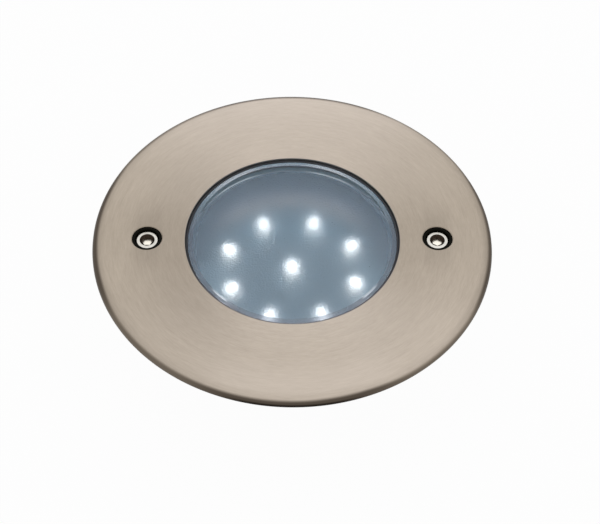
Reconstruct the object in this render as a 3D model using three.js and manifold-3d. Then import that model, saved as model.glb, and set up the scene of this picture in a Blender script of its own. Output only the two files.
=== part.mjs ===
// Walkover light: a round recessed ground light with a stepped glass lens under a screwed-down bezel.
// Millimetres, +Z up. The origin is the middle of the flat base.
// The bezel's two screws lie on the X axis and the cable gland points along +Y.
import * as THREE from 'three';
import { mergeVertices, toCreasedNormals } from 'three/addons/utils/BufferGeometryUtils.js';
import Module from 'manifold-3d';

const wasm = await Module();
wasm.setup();

// Facets round each kind of form
const ringSteps = 56;
const innerSteps = 38;
const holeSteps = 16;
const ledSteps = 12;
const pinHoleSteps = 6;
const rimSteps = 4;
const filletSteps = 2;
const domeSteps = 3;
const wireSides = 8;
const wireSteps = 12;
const creaseAngle = THREE.MathUtils.degToRad(25);

// Heights, stacked from the base up
const floorThickness = 2.2;
const driverStandoffHeight = 3.8;
const boardThickness = 1.6;
const componentSpace = 10.8;
const trayFootHeight = 1.2;
const trayFloorThickness = 1.2;
const chamberDepth = 15.85;
const glassThickness = 5;
const glassSetback = 0.75;

const driverBoardBottom = floorThickness + driverStandoffHeight;
const driverBoardTop = driverBoardBottom + boardThickness;
const ledBoardBottom = driverBoardTop + componentSpace;
const ledBoardTop = ledBoardBottom + boardThickness;
const trayBottom = ledBoardTop + trayFootHeight;
const trayFloorTop = trayBottom + trayFloorThickness;
const glassBottom = trayFloorTop + chamberDepth;
const glassTop = glassBottom + glassThickness;
const bezelTop = glassTop + glassSetback;

// Clearances
const turnedClearance = 0.1;
const partingGap = 0.3;
const cutOverrun = 2;

// Lens opening of the bezel, the gasket in it, the stepped glass and the seal that the glass stands on
const openingRadius = 34.9;
const lensGasketThickness = 1.2;
const lensGasketLip = 1;
const glassArris = 0.8;
const glassLedge = 3.8;
const glassEdgeBreak = 0.3;
const seatSealThickness = 1.2;
const seatSealWidth = 1.9;
const lipOuterRadius = openingRadius - turnedClearance;
const lipInnerRadius = lipOuterRadius - lensGasketLip;
const glassBossRadius = lipInnerRadius - turnedClearance;
const glassFlangeRadius = glassBossRadius + glassLedge;
const seatLevel = glassBottom - seatSealThickness;

// Socket head screws, M4 x 10, with the spring washer and the cup bush that each head bears on
const screwHeadDrop = 1.1;
const screwHeadRadius = 3.5;
const screwHeadHeight = 4;
const screwHeadEdge = 0.4;
const socketAcrossFlats = 3;
const socketDepth = 2;
const socketMouth = 0.25;
const shankRadius = 2;
const shankLength = 10;
const shankTipChamfer = 0.5;
const shankHoleClearance = 0.3;
const springWasherThickness = 0.9;
const springWasherRadius = 3.55;
const springWasherSplit = 0.8;
const bushWall = 0.85;
const bushFloor = 0.8;
const bushDrop = 0.4;
const shankHoleRadius = shankRadius + shankHoleClearance;
const screwHeadTop = bezelTop - screwHeadDrop;
const screwHeadBottom = screwHeadTop - screwHeadHeight;
const springWasherBottom = screwHeadBottom - springWasherThickness;

// Counterbores of the bezel, in bosses that drop into pockets of the housing's lugs
const counterboreRadius = 4.9;
const counterboreEdgeBreak = 0.25;
const bossWall = 1.3;
const bossFloor = 1.5;
const bushRadius = counterboreRadius - turnedClearance;
const counterboreFloor = springWasherBottom - bushFloor;
const bossRadius = counterboreRadius + bossWall;
const bossBottom = counterboreFloor - bossFloor;
const pocketRadius = bossRadius + partingGap;
const pocketFloor = bossBottom - partingGap;

// The screws stand just outside the glass's rebate, and the lugs just inside the flange's edge
const glassSideClearance = 0.6;
const pocketWeb = 2.7;
const lugWall = 1.8;
const flangeMargin = 0.4;
const rebateRadius = glassFlangeRadius + glassSideClearance;
const screwCircleRadius = rebateRadius + pocketWeb + pocketRadius;
const lugRadius = pocketRadius + lugWall;
const flangeRadius = screwCircleRadius + lugRadius + flangeMargin;

// Bezel plate
const bezelOverhang = 9;
const bezelThickness = 2;
const bezelRimStep = 0.3;
const bezelEdgeRadius = 1.6;
const bezelLowerEdgeBreak = 0.25;
const openingEdgeBreak = 0.3;
const bezelRadius = flangeRadius + bezelOverhang;
const bezelRimInnerRadius = flangeRadius + partingGap;
const bezelBottom = bezelTop - bezelThickness;
const bezelPlateBottom = bezelBottom + bezelRimStep;
const glassFlangeTop = bezelPlateBottom - lensGasketThickness;

// Each screw: its side of the bezel, and how far its hexagon socket is turned
const screws = [
  { side: 'left', direction: -1, socketTurn: 0 },
  { side: 'right', direction: 1, socketTurn: THREE.MathUtils.degToRad(30) },
];

// Reflector tray
const trayRimInset = 0.2;
const trayWall = 0.8;
const trayLipWidth = 1;
const trayLipThickness = 0.8;
const trayLipDrop = 0.1;
const trayFloorFillet = 2;
const trayFootRadius = 1.5;
const trayFootInset = 4.5;
const trayFootCount = 3;
const trayRadius = glassBossRadius - trayRimInset;
const trayFootCircleRadius = trayRadius - trayFootInset;
const trayOuterRadius = trayRadius + trayWall;
const trayLipRadius = trayOuterRadius + trayLipWidth;
const trayLipTop = seatLevel - trayLipDrop;
const trayLipBottom = trayLipTop - trayLipThickness;

// Housing
const flangeThickness = 4;
const flangeEdgeBreak = 0.8;
const trayClearance = 0.3;
const neckWall = 3.2;
const neckDepth = 2.8;
const cupWall = 3.4;
const boardLedge = 2.2;
const lowerWall = 2.8;
const stepSlope = 3;
const baseEdgeBreak = 1.5;
const lipRecessRadius = trayLipRadius + turnedClearance;
const cavityRadius = trayOuterRadius + trayClearance;
const lowerCavityRadius = cavityRadius - boardLedge;
const neckRadius = rebateRadius + neckWall;
const cupRadius = cavityRadius + cupWall;
const lowerRadius = lowerCavityRadius + lowerWall;
const flangeTop = bezelPlateBottom - partingGap;
const flangeBottom = flangeTop - flangeThickness;
const neckBottom = flangeBottom - neckDepth;
const neckTaperBottom = neckBottom - (neckRadius - cupRadius);

// Screw lugs of the housing, each with a brass thread insert
const lugDepth = 15;
const insertLength = 8;
const insertWall = 0.7;
const insertSeatClearance = 0.1;
const lugBottom = flangeBottom - lugDepth;
const insertBoreRadius = shankRadius + turnedClearance;
const insertRadius = insertBoreRadius + insertWall;
const insertBottom = pocketFloor - insertLength;

// Ribs that carry the flange
const ribPitch = THREE.MathUtils.degToRad(30);
const ribThickness = 2;
const ribDepth = 15;
const ribEdgeMargin = 3;
const ribFoot = 1;

// LED board with its light emitting diodes: one in the middle and a ring of eight round it
const boardEdgeClearance = 0.5;
const ledRadius = 2.5;
const ledHeight = 8.6;
const ledFlangeRadius = 2.9;
const ledFlangeHeight = 1;
const ledPinWidth = 0.5;
const ledPinSpacing = 2.54;
const ledPinSides = [-1, 1];
const ledPinTail = 1.6;
const ledPinHoleRadius = 0.45;
const ledHoleClearance = 0.2;
const ledRingInset = 11.9;
const ledRingCount = 8;
const ledRingTurn = THREE.MathUtils.degToRad(25.6);
const ledRingRadius = trayRadius - ledRingInset;
const ledBoardRadius = cavityRadius - boardEdgeClearance;

// Driver board on three standoffs, with its screws
const driverBoardRoom = 7.4;
const standoffRadius = 2.6;
const standoffInset = 4;
const standoffCount = 3;
const standoffTurn = THREE.MathUtils.degToRad(30);
const boardScrewRadius = 1.25;
const boardScrewHeadRadius = 2.4;
const boardScrewHeadHeight = 1.6;
const boardScrewGrip = 2.8;
const boardScrewHoleClearance = 0.2;
const boardScrewHoleSpare = 0.3;
const boardScrewHoleRadius = boardScrewRadius + boardScrewHoleClearance;
const boardScrewTip = driverBoardBottom - boardScrewGrip;
const driverBoardRadius = lowerCavityRadius - driverBoardRoom;
const standoffCircleRadius = driverBoardRadius - standoffInset;

// Parts on the driver board, each placed by the middle of its foot
const terminalBlock = { x: 0, y: 15, width: 11, depth: 8, height: 9, poles: 2 };
const terminalEntryRadius = 1.6;
const terminalEntryDepth = 5;
const terminalEntryHeight = 3;
const terminalWellRadius = 1.5;
const terminalWellDepth = 3.5;
const choke = { x: -10, y: -4, flangeRadius: 6, coreRadius: 3, height: 8.4, flangeThickness: 1.4 };
const chokeWindingRecess = 0.5;
const capacitor = { x: 10, y: -4, radius: 4, height: 8.5, grooveHeight: 1.6, groove: 0.4, edge: 0.5 };
const rectifier = { x: 0, y: -3, width: 6.2, depth: 5, height: 2.5, draft: 0.4 };

// Two leads that join the boards
const leadRadius = 0.7;
const leadSpacing = 6;
const leadY = -13;
const leadSlack = 1.6;
const leadStraight = 2.2;
const leadTones = { positive: '#8f1d1a', negative: '#1b1b1d' };

// Cable gland, M12, measured outwards from the face of its boss on the housing
const glandAxisHeight = 11.3;
const glandBossRadius = 9.5;
const glandBossReach = 4.8;
const glandBossFace = lowerRadius + glandBossReach;
const glandThreadRadius = 5.9;
const glandThreadLength = 8;
const glandSealingRingWidth = 1.2;
const glandSealingRingSection = 1.5;
const glandHexAcrossFlats = 15;
const glandHexLength = 5;
const glandHexEdgeBreak = 0.5;
const glandNeckRadius = 5.6;
const glandNeckLength = 5;
const glandSealSeat = 3;
const glandSealLength = 8;
const glandSealWall = 1.25;
const glandCableRadius = 3.25;
const glandMouthClearance = 0.4;
const glandNutHexLength = 5;
const glandNutLength = 9;
const glandNutEndRadius = 5;
const glandNutShoulderShare = 0.35;
const glandNutCavitySpare = 0.3;
const glandHexRadius = glandHexAcrossFlats / Math.sqrt(3);
const glandHexEnd = glandSealingRingWidth + glandHexLength;
const glandNeckEnd = glandHexEnd + glandNeckLength;
const glandSealRadius = glandCableRadius + glandSealWall;
const glandSealStart = glandSealingRingWidth + glandSealSeat;
const glandSealEnd = glandSealStart + glandSealLength;
const glandMouthRadius = glandCableRadius + glandMouthClearance;
const glandNutStart = glandHexEnd + partingGap;
const glandNutEnd = glandNutStart + glandNutLength;
const glandNutCavityEnd = glandSealEnd + glandNutCavitySpare;

// Materials
function metal(color, roughness) {
  return new THREE.MeshStandardMaterial({ color, roughness, metalness: 1 });
}

function plastic(color, roughness) {
  return new THREE.MeshStandardMaterial({ color, roughness, metalness: 0 });
}

function clearGlass(color) {
  return new THREE.MeshStandardMaterial({
    color,
    roughness: 0.05,
    metalness: 0,
    transparent: true,
    opacity: 0.35,
  });
}

function litDiode() {
  return new THREE.MeshStandardMaterial({
    color: '#eef4ff',
    roughness: 0.2,
    metalness: 0,
    emissive: '#dfeaff',
    emissiveIntensity: 1,
  });
}

const brushedStainless = metal('#b8ad9f', 0.35);
const brightStainless = metal('#dcdad2', 0.22);
const springSteel = metal('#8e8c86', 0.35);
const brass = metal('#b3924d', 0.35);
const castAluminium = plastic('#2b2c2e', 0.55);
const blackRubber = plastic('#1d1e1f', 0.75);
const blackNylon = plastic('#222325', 0.5);
const satinReflector = plastic('#8796a3', 0.45);
const lensGlassFinish = clearGlass('#cfe0e6');
const diodeFinish = litDiode();
const boardLaminate = plastic('#1e5a3a', 0.5);
const ferrite = plastic('#3a3b3d', 0.7);
const copperWinding = metal('#a5592c', 0.4);
const canSleeve = plastic('#26303f', 0.35);
const moulding = plastic('#2f6b3f', 0.5);
const epoxy = plastic('#17181a', 0.6);

// A closed mesh as a solid that can be cut and joined
function solid(geometry) {
  const bare = geometry.clone();
  bare.deleteAttribute('normal');
  bare.deleteAttribute('uv');
  const merged = mergeVertices(bare);
  const corners = merged.index.array;
  const triangles = [];
  for (let i = 0; i < corners.length; i += 3) {
    const [a, b, c] = corners.slice(i, i + 3);
    if (a !== b && b !== c && c !== a) {
      triangles.push(a, b, c);
    }
  }
  return new wasm.Manifold(new wasm.Mesh({
    numProp: 3,
    vertProperties: new Float32Array(merged.attributes.position.array),
    triVerts: new Uint32Array(triangles),
  }));
}

// A solid as a mesh, with crisp edges where its faces meet
function meshShape(body) {
  const { vertProperties, triVerts } = body.getMesh();
  const geometry = new THREE.BufferGeometry();
  geometry.setAttribute('position', new THREE.BufferAttribute(vertProperties, 3));
  geometry.setIndex(new THREE.BufferAttribute(triVerts, 1));
  return toCreasedNormals(geometry, creaseAngle);
}

function joined(bodies) {
  return bodies.reduce((whole, body) => whole.add(body));
}

// A section of [radius, height] points turned round the Z axis.
// The section runs up the outside and down the inside, or from the axis to the axis.
function turned(section, steps = ringSteps) {
  const onAxis = section[0][0] === 0;
  const closed = onAxis ? section : [...section, section[0]];
  const points = closed.map(([radius, height]) => new THREE.Vector2(radius, height));
  return new THREE.LatheGeometry(points, steps).rotateX(Math.PI / 2);
}

// A straight round rod between two heights on the Z axis
function rod(radius, bottom, top, steps = holeSteps) {
  return turned([[0, bottom], [radius, bottom], [radius, top], [0, top]], steps);
}

// A tube between two heights on the Z axis
function tube(innerRadius, outerRadius, bottom, top, steps = ringSteps) {
  const section = [[innerRadius, bottom], [outerRadius, bottom], [outerRadius, top], [innerRadius, top]];
  return turned(section, steps);
}

// A hexagonal bar between two heights, its corners towards +X and -X before it is turned
function hexagon(acrossFlats, bottom, top, turn = 0) {
  const radius = acrossFlats / Math.sqrt(3);
  const bar = new THREE.CylinderGeometry(radius, radius, top - bottom, 6);
  bar.rotateX(Math.PI / 2).rotateZ(Math.PI / 2 + turn);
  return bar.translate(0, 0, (top + bottom) / 2);
}

// A box that stands on a height, placed by the middle of its foot
function block(width, depth, bottom, top, x = 0, y = 0) {
  return new THREE.BoxGeometry(width, depth, top - bottom).translate(x, y, (top + bottom) / 2);
}

// The points of a quarter round between two directions, in the plane of a section
function arc(centreRadius, centreHeight, radius, startTurn, endTurn, steps) {
  return Array.from({ length: steps + 1 }, (_, i) => {
    const angle = THREE.MathUtils.degToRad(startTurn + (endTurn - startTurn) * i / steps);
    return [centreRadius + radius * Math.cos(angle), centreHeight + radius * Math.sin(angle)];
  });
}

// The middles of equally spaced places on a circle
function roundPlaces(count, radius, firstTurn = 0) {
  return Array.from({ length: count }, (_, i) => {
    const angle = firstTurn + 2 * Math.PI * i / count;
    return { x: radius * Math.cos(angle), y: radius * Math.sin(angle), angle };
  });
}

// Moves a body made round the Z axis on to the gland's axis, which runs out along +Y
function alongGland(geometry) {
  return geometry.rotateX(-Math.PI / 2).translate(0, glandBossFace, glandAxisHeight);
}

const screwX = (screw) => screw.direction * screwCircleRadius;

// Bezel: a flat ring with a rounded rim, which steps down to its seat outside the housing's flange,
// and a counterbored boss under each screw hole
function bezelShape() {
  const plate = solid(turned([
    [openingRadius, bezelPlateBottom],
    [bezelRimInnerRadius, bezelPlateBottom],
    [bezelRimInnerRadius, bezelBottom],
    [bezelRadius - bezelLowerEdgeBreak, bezelBottom],
    [bezelRadius, bezelBottom + bezelLowerEdgeBreak],
    ...arc(bezelRadius - bezelEdgeRadius, bezelTop - bezelEdgeRadius, bezelEdgeRadius, 0, 90, rimSteps),
    [openingRadius + openingEdgeBreak, bezelTop],
    [openingRadius, bezelTop - openingEdgeBreak],
  ]));
  const bosses = screws.map((screw) => {
    return solid(rod(bossRadius, bossBottom, bezelTop - bezelThickness / 2).translate(screwX(screw), 0, 0));
  });
  const holes = screws.map((screw) => {
    const counterbore = turned([
      [0, bossBottom - cutOverrun],
      [shankHoleRadius, bossBottom - cutOverrun],
      [shankHoleRadius, counterboreFloor],
      [counterboreRadius, counterboreFloor],
      [counterboreRadius, bezelTop - counterboreEdgeBreak],
      [counterboreRadius + counterboreEdgeBreak, bezelTop],
      [counterboreRadius + counterboreEdgeBreak, bezelTop + cutOverrun],
      [0, bezelTop + cutOverrun],
    ], holeSteps);
    return solid(counterbore.translate(screwX(screw), 0, 0));
  });
  return meshShape(joined([plate, ...bosses]).subtract(joined(holes)));
}

// Black cup that lines a counterbore and keeps the screw off the bezel
function screwBushShape() {
  const innerRadius = bushRadius - bushWall;
  return turned([
    [shankHoleRadius, counterboreFloor],
    [bushRadius, counterboreFloor],
    [bushRadius, bezelTop - bushDrop],
    [innerRadius, bezelTop - bushDrop],
    [innerRadius, springWasherBottom],
    [shankHoleRadius, springWasherBottom],
  ], holeSteps);
}

// Split spring washer under the screw's head
function springWasherShape() {
  const ring = tube(shankHoleRadius, springWasherRadius, springWasherBottom, screwHeadBottom, holeSteps);
  const split = block(
    springWasherRadius,
    springWasherSplit,
    springWasherBottom - cutOverrun,
    screwHeadBottom + cutOverrun,
    shankHoleRadius / 2 + springWasherRadius / 2,
  );
  return meshShape(solid(ring).subtract(solid(split.rotateZ(Math.PI / 2))));
}

// Socket head cap screw with a chamfered head, a hexagon socket and a plain shank
function screwShape(screw) {
  const tip = screwHeadBottom - shankLength;
  const body = solid(turned([
    [0, tip],
    [shankRadius - shankTipChamfer, tip],
    [shankRadius, tip + shankTipChamfer],
    [shankRadius, screwHeadBottom],
    [screwHeadRadius, screwHeadBottom],
    [screwHeadRadius, screwHeadTop - screwHeadEdge],
    [screwHeadRadius - screwHeadEdge, screwHeadTop],
    [0, screwHeadTop],
  ], holeSteps));
  const socket = solid(hexagon(
    socketAcrossFlats,
    screwHeadTop - socketDepth,
    screwHeadTop + cutOverrun,
    screw.socketTurn,
  ));
  const cornerRadius = socketAcrossFlats / Math.sqrt(3);
  const mouth = solid(turned([
    [0, screwHeadTop - socketMouth],
    [cornerRadius, screwHeadTop - socketMouth],
    [cornerRadius + socketMouth, screwHeadTop],
    [cornerRadius + socketMouth, screwHeadTop + cutOverrun],
    [0, screwHeadTop + cutOverrun],
  ], holeSteps));
  return meshShape(body.subtract(socket).subtract(mouth));
}

// Brass insert that each screw threads into
function threadInsertShape() {
  return tube(insertBoreRadius, insertRadius, insertBottom, pocketFloor, holeSteps);
}

// Gasket: a flat ring on the glass's step, with a lip that fills the gap round the glass
function lensGasketShape() {
  return turned([
    [lipInnerRadius, glassFlangeTop],
    [glassFlangeRadius, glassFlangeTop],
    [glassFlangeRadius, bezelPlateBottom],
    [lipOuterRadius, bezelPlateBottom],
    [lipOuterRadius, glassTop],
    [lipInnerRadius, glassTop],
  ]);
}

// Glass: a thick disc with a polished arris, stepped down to the flange that the bezel clamps
function lensGlassShape() {
  return turned([
    [0, glassBottom],
    [glassFlangeRadius - glassEdgeBreak, glassBottom],
    [glassFlangeRadius, glassBottom + glassEdgeBreak],
    [glassFlangeRadius, glassFlangeTop],
    [glassBossRadius, glassFlangeTop],
    [glassBossRadius, glassTop - glassArris],
    [glassBossRadius - glassArris, glassTop],
    [0, glassTop],
  ]);
}

// Flat seal between the glass and the housing
function seatSealShape() {
  return tube(glassFlangeRadius - seatSealWidth, glassFlangeRadius, seatLevel, glassBottom, innerSteps);
}

// Reflector tray: a round dish that hangs on its lip, with a hole for each diode and feet on the board
function reflectorTrayShape() {
  const outerCentre = trayOuterRadius - trayFloorFillet;
  const innerCentre = trayRadius - trayFloorFillet;
  const dish = solid(turned([
    [0, trayBottom],
    ...arc(outerCentre, trayBottom + trayFloorFillet, trayFloorFillet, -90, 0, filletSteps),
    [trayOuterRadius, trayLipBottom],
    [trayLipRadius, trayLipBottom],
    [trayLipRadius, trayLipTop],
    [trayRadius, trayLipTop],
    ...arc(innerCentre, trayFloorTop + trayFloorFillet, trayFloorFillet, 0, -90, filletSteps),
    [0, trayFloorTop],
  ], innerSteps));
  const feet = roundPlaces(trayFootCount, trayFootCircleRadius, Math.PI / 2).map(({ x, y }) => {
    const foot = rod(trayFootRadius, ledBoardTop, trayFloorTop - trayFloorThickness / 2);
    return solid(foot.translate(x, y, 0));
  });
  const holes = ledPlaces().map(({ x, y }) => {
    const holeRadius = ledRadius + ledHoleClearance;
    const hole = rod(holeRadius, trayBottom - cutOverrun, trayFloorTop + cutOverrun, ledSteps);
    return solid(hole.translate(x, y, 0));
  });
  return meshShape(joined([dish, ...feet]).subtract(joined(holes)));
}

// The middle diode, then the ring of diodes round it
function ledPlaces() {
  return [{ x: 0, y: 0, angle: ledRingTurn }, ...roundPlaces(ledRingCount, ledRingRadius, ledRingTurn)];
}

// The two pins of a diode stand apart along the line from the board's middle
function pinPlaces({ x, y, angle }) {
  return ledPinSides.map((side) => ({
    x: x + side * ledPinSpacing / 2 * Math.cos(angle),
    y: y + side * ledPinSpacing / 2 * Math.sin(angle),
    angle,
  }));
}

function ledBoardShape() {
  const board = solid(rod(ledBoardRadius, ledBoardBottom, ledBoardTop, innerSteps));
  const holes = ledPlaces().flatMap(pinPlaces).map(({ x, y }) => {
    const hole = rod(ledPinHoleRadius, ledBoardBottom - cutOverrun, ledBoardTop + cutOverrun, pinHoleSteps);
    return solid(hole.translate(x, y, 0));
  });
  return meshShape(board.subtract(joined(holes)));
}

// Diode: a domed lens on a flange, with two square pins through the board
function ledShape(place) {
  const shoulder = ledBoardTop + ledHeight - ledRadius;
  const lens = solid(turned([
    [0, ledBoardTop],
    [ledFlangeRadius, ledBoardTop],
    [ledFlangeRadius, ledBoardTop + ledFlangeHeight],
    [ledRadius, ledBoardTop + ledFlangeHeight],
    ...arc(0, shoulder, ledRadius, 0, 90, domeSteps).slice(0, -1),
    [0, shoulder + ledRadius],
  ], ledSteps).translate(place.x, place.y, 0));
  const pins = pinPlaces(place).map(({ x, y, angle }) => {
    const pinBottom = ledBoardBottom - ledPinTail;
    const pin = block(ledPinWidth, ledPinWidth, pinBottom, ledBoardTop + ledFlangeHeight / 2);
    return solid(pin.rotateZ(angle).translate(x, y, 0));
  });
  return meshShape(joined([lens, ...pins]));
}

// Driver board with clearance holes for its screws
function driverBoardShape() {
  const board = solid(rod(driverBoardRadius, driverBoardBottom, driverBoardTop, innerSteps));
  const holes = standoffPlaces().map(({ x, y }) => {
    const hole = rod(boardScrewHoleRadius, driverBoardBottom - cutOverrun, driverBoardTop + cutOverrun);
    return solid(hole.translate(x, y, 0));
  });
  return meshShape(board.subtract(joined(holes)));
}

function standoffPlaces() {
  return roundPlaces(standoffCount, standoffCircleRadius, standoffTurn);
}

// Pan head screw that holds the driver board to a standoff
function boardScrewShape() {
  const headTop = driverBoardTop + boardScrewHeadHeight;
  return turned([
    [0, boardScrewTip],
    [boardScrewRadius, boardScrewTip],
    [boardScrewRadius, driverBoardTop],
    [boardScrewHeadRadius, driverBoardTop],
    [boardScrewHeadRadius, driverBoardTop + boardScrewHeadHeight / 2],
    [boardScrewHeadRadius - boardScrewHeadHeight / 2, headTop],
    [0, headTop],
  ], holeSteps);
}

// Terminal block: a wire entry in its outer face and a screw well in its top for each pole
function terminalBlockShape() {
  const { x, y, width, depth, height, poles } = terminalBlock;
  const top = driverBoardTop + height;
  const body = solid(block(width, depth, driverBoardTop, top, x, y));
  const outerFace = y + depth / 2;
  const cuts = Array.from({ length: poles }, (_, i) => {
    const poleX = x + width * ((i + 0.5) / poles - 0.5);
    const entry = rod(terminalEntryRadius, -terminalEntryDepth, cutOverrun).rotateX(-Math.PI / 2);
    entry.translate(poleX, outerFace, driverBoardTop + terminalEntryHeight);
    const well = rod(terminalWellRadius, top - terminalWellDepth, top + cutOverrun).translate(poleX, y, 0);
    return solid(entry).add(solid(well));
  });
  return meshShape(body.subtract(joined(cuts)));
}

// Drum core of the choke, waisted for its winding
function chokeCoreShape() {
  const { flangeRadius: wide, coreRadius, height, flangeThickness: lip, x, y } = choke;
  const top = driverBoardTop + height;
  return turned([
    [0, driverBoardTop],
    [wide, driverBoardTop],
    [wide, driverBoardTop + lip],
    [coreRadius, driverBoardTop + lip],
    [coreRadius, top - lip],
    [wide, top - lip],
    [wide, top],
    [0, top],
  ], holeSteps).translate(x, y, 0);
}

function chokeWindingShape() {
  const { flangeRadius: wide, coreRadius, height, flangeThickness: lip, x, y } = choke;
  const winding = tube(
    coreRadius + turnedClearance,
    wide - chokeWindingRecess,
    driverBoardTop + lip + turnedClearance,
    driverBoardTop + height - lip - turnedClearance,
    holeSteps,
  );
  return winding.translate(x, y, 0);
}

// Electrolytic capacitor with the rolled groove near its foot
function capacitorShape() {
  const { radius, height, grooveHeight, groove, edge, x, y } = capacitor;
  const top = driverBoardTop + height;
  return turned([
    [0, driverBoardTop],
    [radius - edge, driverBoardTop],
    [radius, driverBoardTop + edge],
    [radius, driverBoardTop + grooveHeight - groove],
    [radius - groove, driverBoardTop + grooveHeight],
    [radius, driverBoardTop + grooveHeight + groove],
    [radius, top - edge],
    [radius - edge, top],
    [0, top],
  ], holeSteps).translate(x, y, 0);
}

// Bridge rectifier: a low moulding whose sides draw in towards the top
function rectifierShape() {
  const { x, y, width, depth, height, draft } = rectifier;
  const section = new THREE.Shape([
    new THREE.Vector2(-width / 2, 0),
    new THREE.Vector2(width / 2, 0),
    new THREE.Vector2(width / 2 - draft, height),
    new THREE.Vector2(draft - width / 2, height),
  ]);
  const moulded = new THREE.ExtrudeGeometry(section, { depth, bevelEnabled: false });
  return moulded.translate(0, 0, -depth / 2).rotateX(Math.PI / 2).translate(x, y, driverBoardTop);
}

// Insulated lead with a little slack, square to both boards at its ends
function leadShape(direction) {
  const x = direction * leadSpacing / 2;
  const bottom = driverBoardTop + partingGap;
  const top = ledBoardBottom - partingGap;
  const route = new THREE.CatmullRomCurve3([
    new THREE.Vector3(x, leadY, bottom),
    new THREE.Vector3(x, leadY, bottom + leadStraight),
    new THREE.Vector3(x + direction * leadSlack, leadY, (bottom + top) / 2),
    new THREE.Vector3(x, leadY, top - leadStraight),
    new THREE.Vector3(x, leadY, top),
  ]);
  const circle = new THREE.Path().absarc(0, 0, leadRadius, 0, 2 * Math.PI);
  const section = new THREE.Shape(circle.getPoints(wireSides / 2));
  return new THREE.ExtrudeGeometry(section, { steps: wireSteps, extrudePath: route, bevelEnabled: false });
}

// Outer form of the cast housing: clamping flange, neck, cup and the narrower driver cup below it
function housingOutside() {
  const stepTop = ledBoardBottom;
  return turned([
    [0, 0],
    [lowerRadius - baseEdgeBreak, 0],
    [lowerRadius, baseEdgeBreak],
    [lowerRadius, stepTop - stepSlope],
    [cupRadius, stepTop],
    [cupRadius, neckTaperBottom],
    [neckRadius, neckBottom],
    [neckRadius, flangeBottom],
    [flangeRadius - flangeEdgeBreak, flangeBottom],
    [flangeRadius, flangeBottom + flangeEdgeBreak],
    [flangeRadius, flangeTop],
    [0, flangeTop],
  ]);
}

// Room inside the housing: glass rebate, tray lip recess, tray bore, board ledge and driver chamber
function housingInside() {
  return turned([
    [0, floorThickness],
    [lowerCavityRadius, floorThickness],
    [lowerCavityRadius, ledBoardBottom],
    [cavityRadius, ledBoardBottom],
    [cavityRadius, trayLipBottom],
    [lipRecessRadius, trayLipBottom],
    [lipRecessRadius, seatLevel],
    [rebateRadius, seatLevel],
    [rebateRadius, flangeTop + cutOverrun],
    [0, flangeTop + cutOverrun],
  ]);
}

// Lug under the flange that holds one screw's pocket and insert
function lugShape(screw) {
  const outline = new THREE.Shape();
  outline.moveTo(cavityRadius, -lugRadius);
  outline.lineTo(screwCircleRadius, -lugRadius);
  outline.absarc(screwCircleRadius, 0, lugRadius, -Math.PI / 2, Math.PI / 2);
  outline.lineTo(cavityRadius, lugRadius);
  const lug = new THREE.ExtrudeGeometry(outline, {
    depth: flangeTop - lugBottom,
    bevelEnabled: false,
    curveSegments: holeSteps / 2,
  });
  return lug.rotateZ(screw.direction > 0 ? 0 : Math.PI).translate(0, 0, lugBottom);
}

// Pocket for the bezel's boss, with the bore that takes the thread insert
function lugHole(screw) {
  const boreRadius = insertRadius + insertSeatClearance;
  return turned([
    [0, insertBottom - partingGap],
    [boreRadius, insertBottom - partingGap],
    [boreRadius, pocketFloor],
    [pocketRadius, pocketFloor],
    [pocketRadius, flangeTop + cutOverrun],
    [0, flangeTop + cutOverrun],
  ], holeSteps).translate(screwX(screw), 0, 0);
}

// Tapered rib between the flange and the cup
function ribShape(angle) {
  const inner = cupRadius - cupWall / 2;
  const outer = flangeRadius - ribEdgeMargin;
  const top = flangeBottom + flangeThickness / 2;
  const outline = new THREE.Shape([
    new THREE.Vector2(inner, flangeBottom - ribDepth),
    new THREE.Vector2(cupRadius + ribFoot, flangeBottom - ribDepth),
    new THREE.Vector2(outer, flangeBottom),
    new THREE.Vector2(outer, top),
    new THREE.Vector2(inner, top),
  ]);
  const rib = new THREE.ExtrudeGeometry(outline, { depth: ribThickness, bevelEnabled: false });
  return rib.translate(0, 0, -ribThickness / 2).rotateX(Math.PI / 2).rotateZ(angle);
}

// Ribs stand at an even pitch, except where a screw lug takes their place
function ribAngles() {
  const count = Math.round(2 * Math.PI / ribPitch);
  const angles = Array.from({ length: count }, (_, i) => i * ribPitch);
  return angles.filter((angle) => Math.abs(Math.sin(angle)) * flangeRadius > lugRadius + ribThickness);
}

// Standoff on the floor for the driver board, and the hole for its screw
function standoffShape({ x, y }) {
  return rod(standoffRadius, floorThickness / 2, driverBoardBottom).translate(x, y, 0);
}

function standoffHole({ x, y }) {
  const bottom = boardScrewTip - boardScrewHoleSpare;
  return rod(boardScrewHoleRadius, bottom, driverBoardBottom + cutOverrun).translate(x, y, 0);
}

// The cast housing, whole
function housingShape() {
  const boss = alongGland(rod(glandBossRadius, -glandBossReach - lowerWall, 0, ringSteps / 2));
  const glandBore = alongGland(rod(
    glandThreadRadius + turnedClearance,
    -glandBossReach - lowerWall - cutOverrun,
    cutOverrun,
  ));
  const outside = joined([
    solid(housingOutside()),
    solid(boss),
    ...screws.map((screw) => solid(lugShape(screw))),
    ...ribAngles().map((angle) => solid(ribShape(angle))),
  ]);
  const standoffs = standoffPlaces().map((place) => solid(standoffShape(place)));
  const holes = [
    solid(glandBore),
    ...screws.map((screw) => solid(lugHole(screw))),
    ...standoffPlaces().map((place) => solid(standoffHole(place))),
  ];
  const shell = outside.subtract(solid(housingInside()));
  return meshShape(joined([shell, ...standoffs]).subtract(joined(holes)));
}

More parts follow.
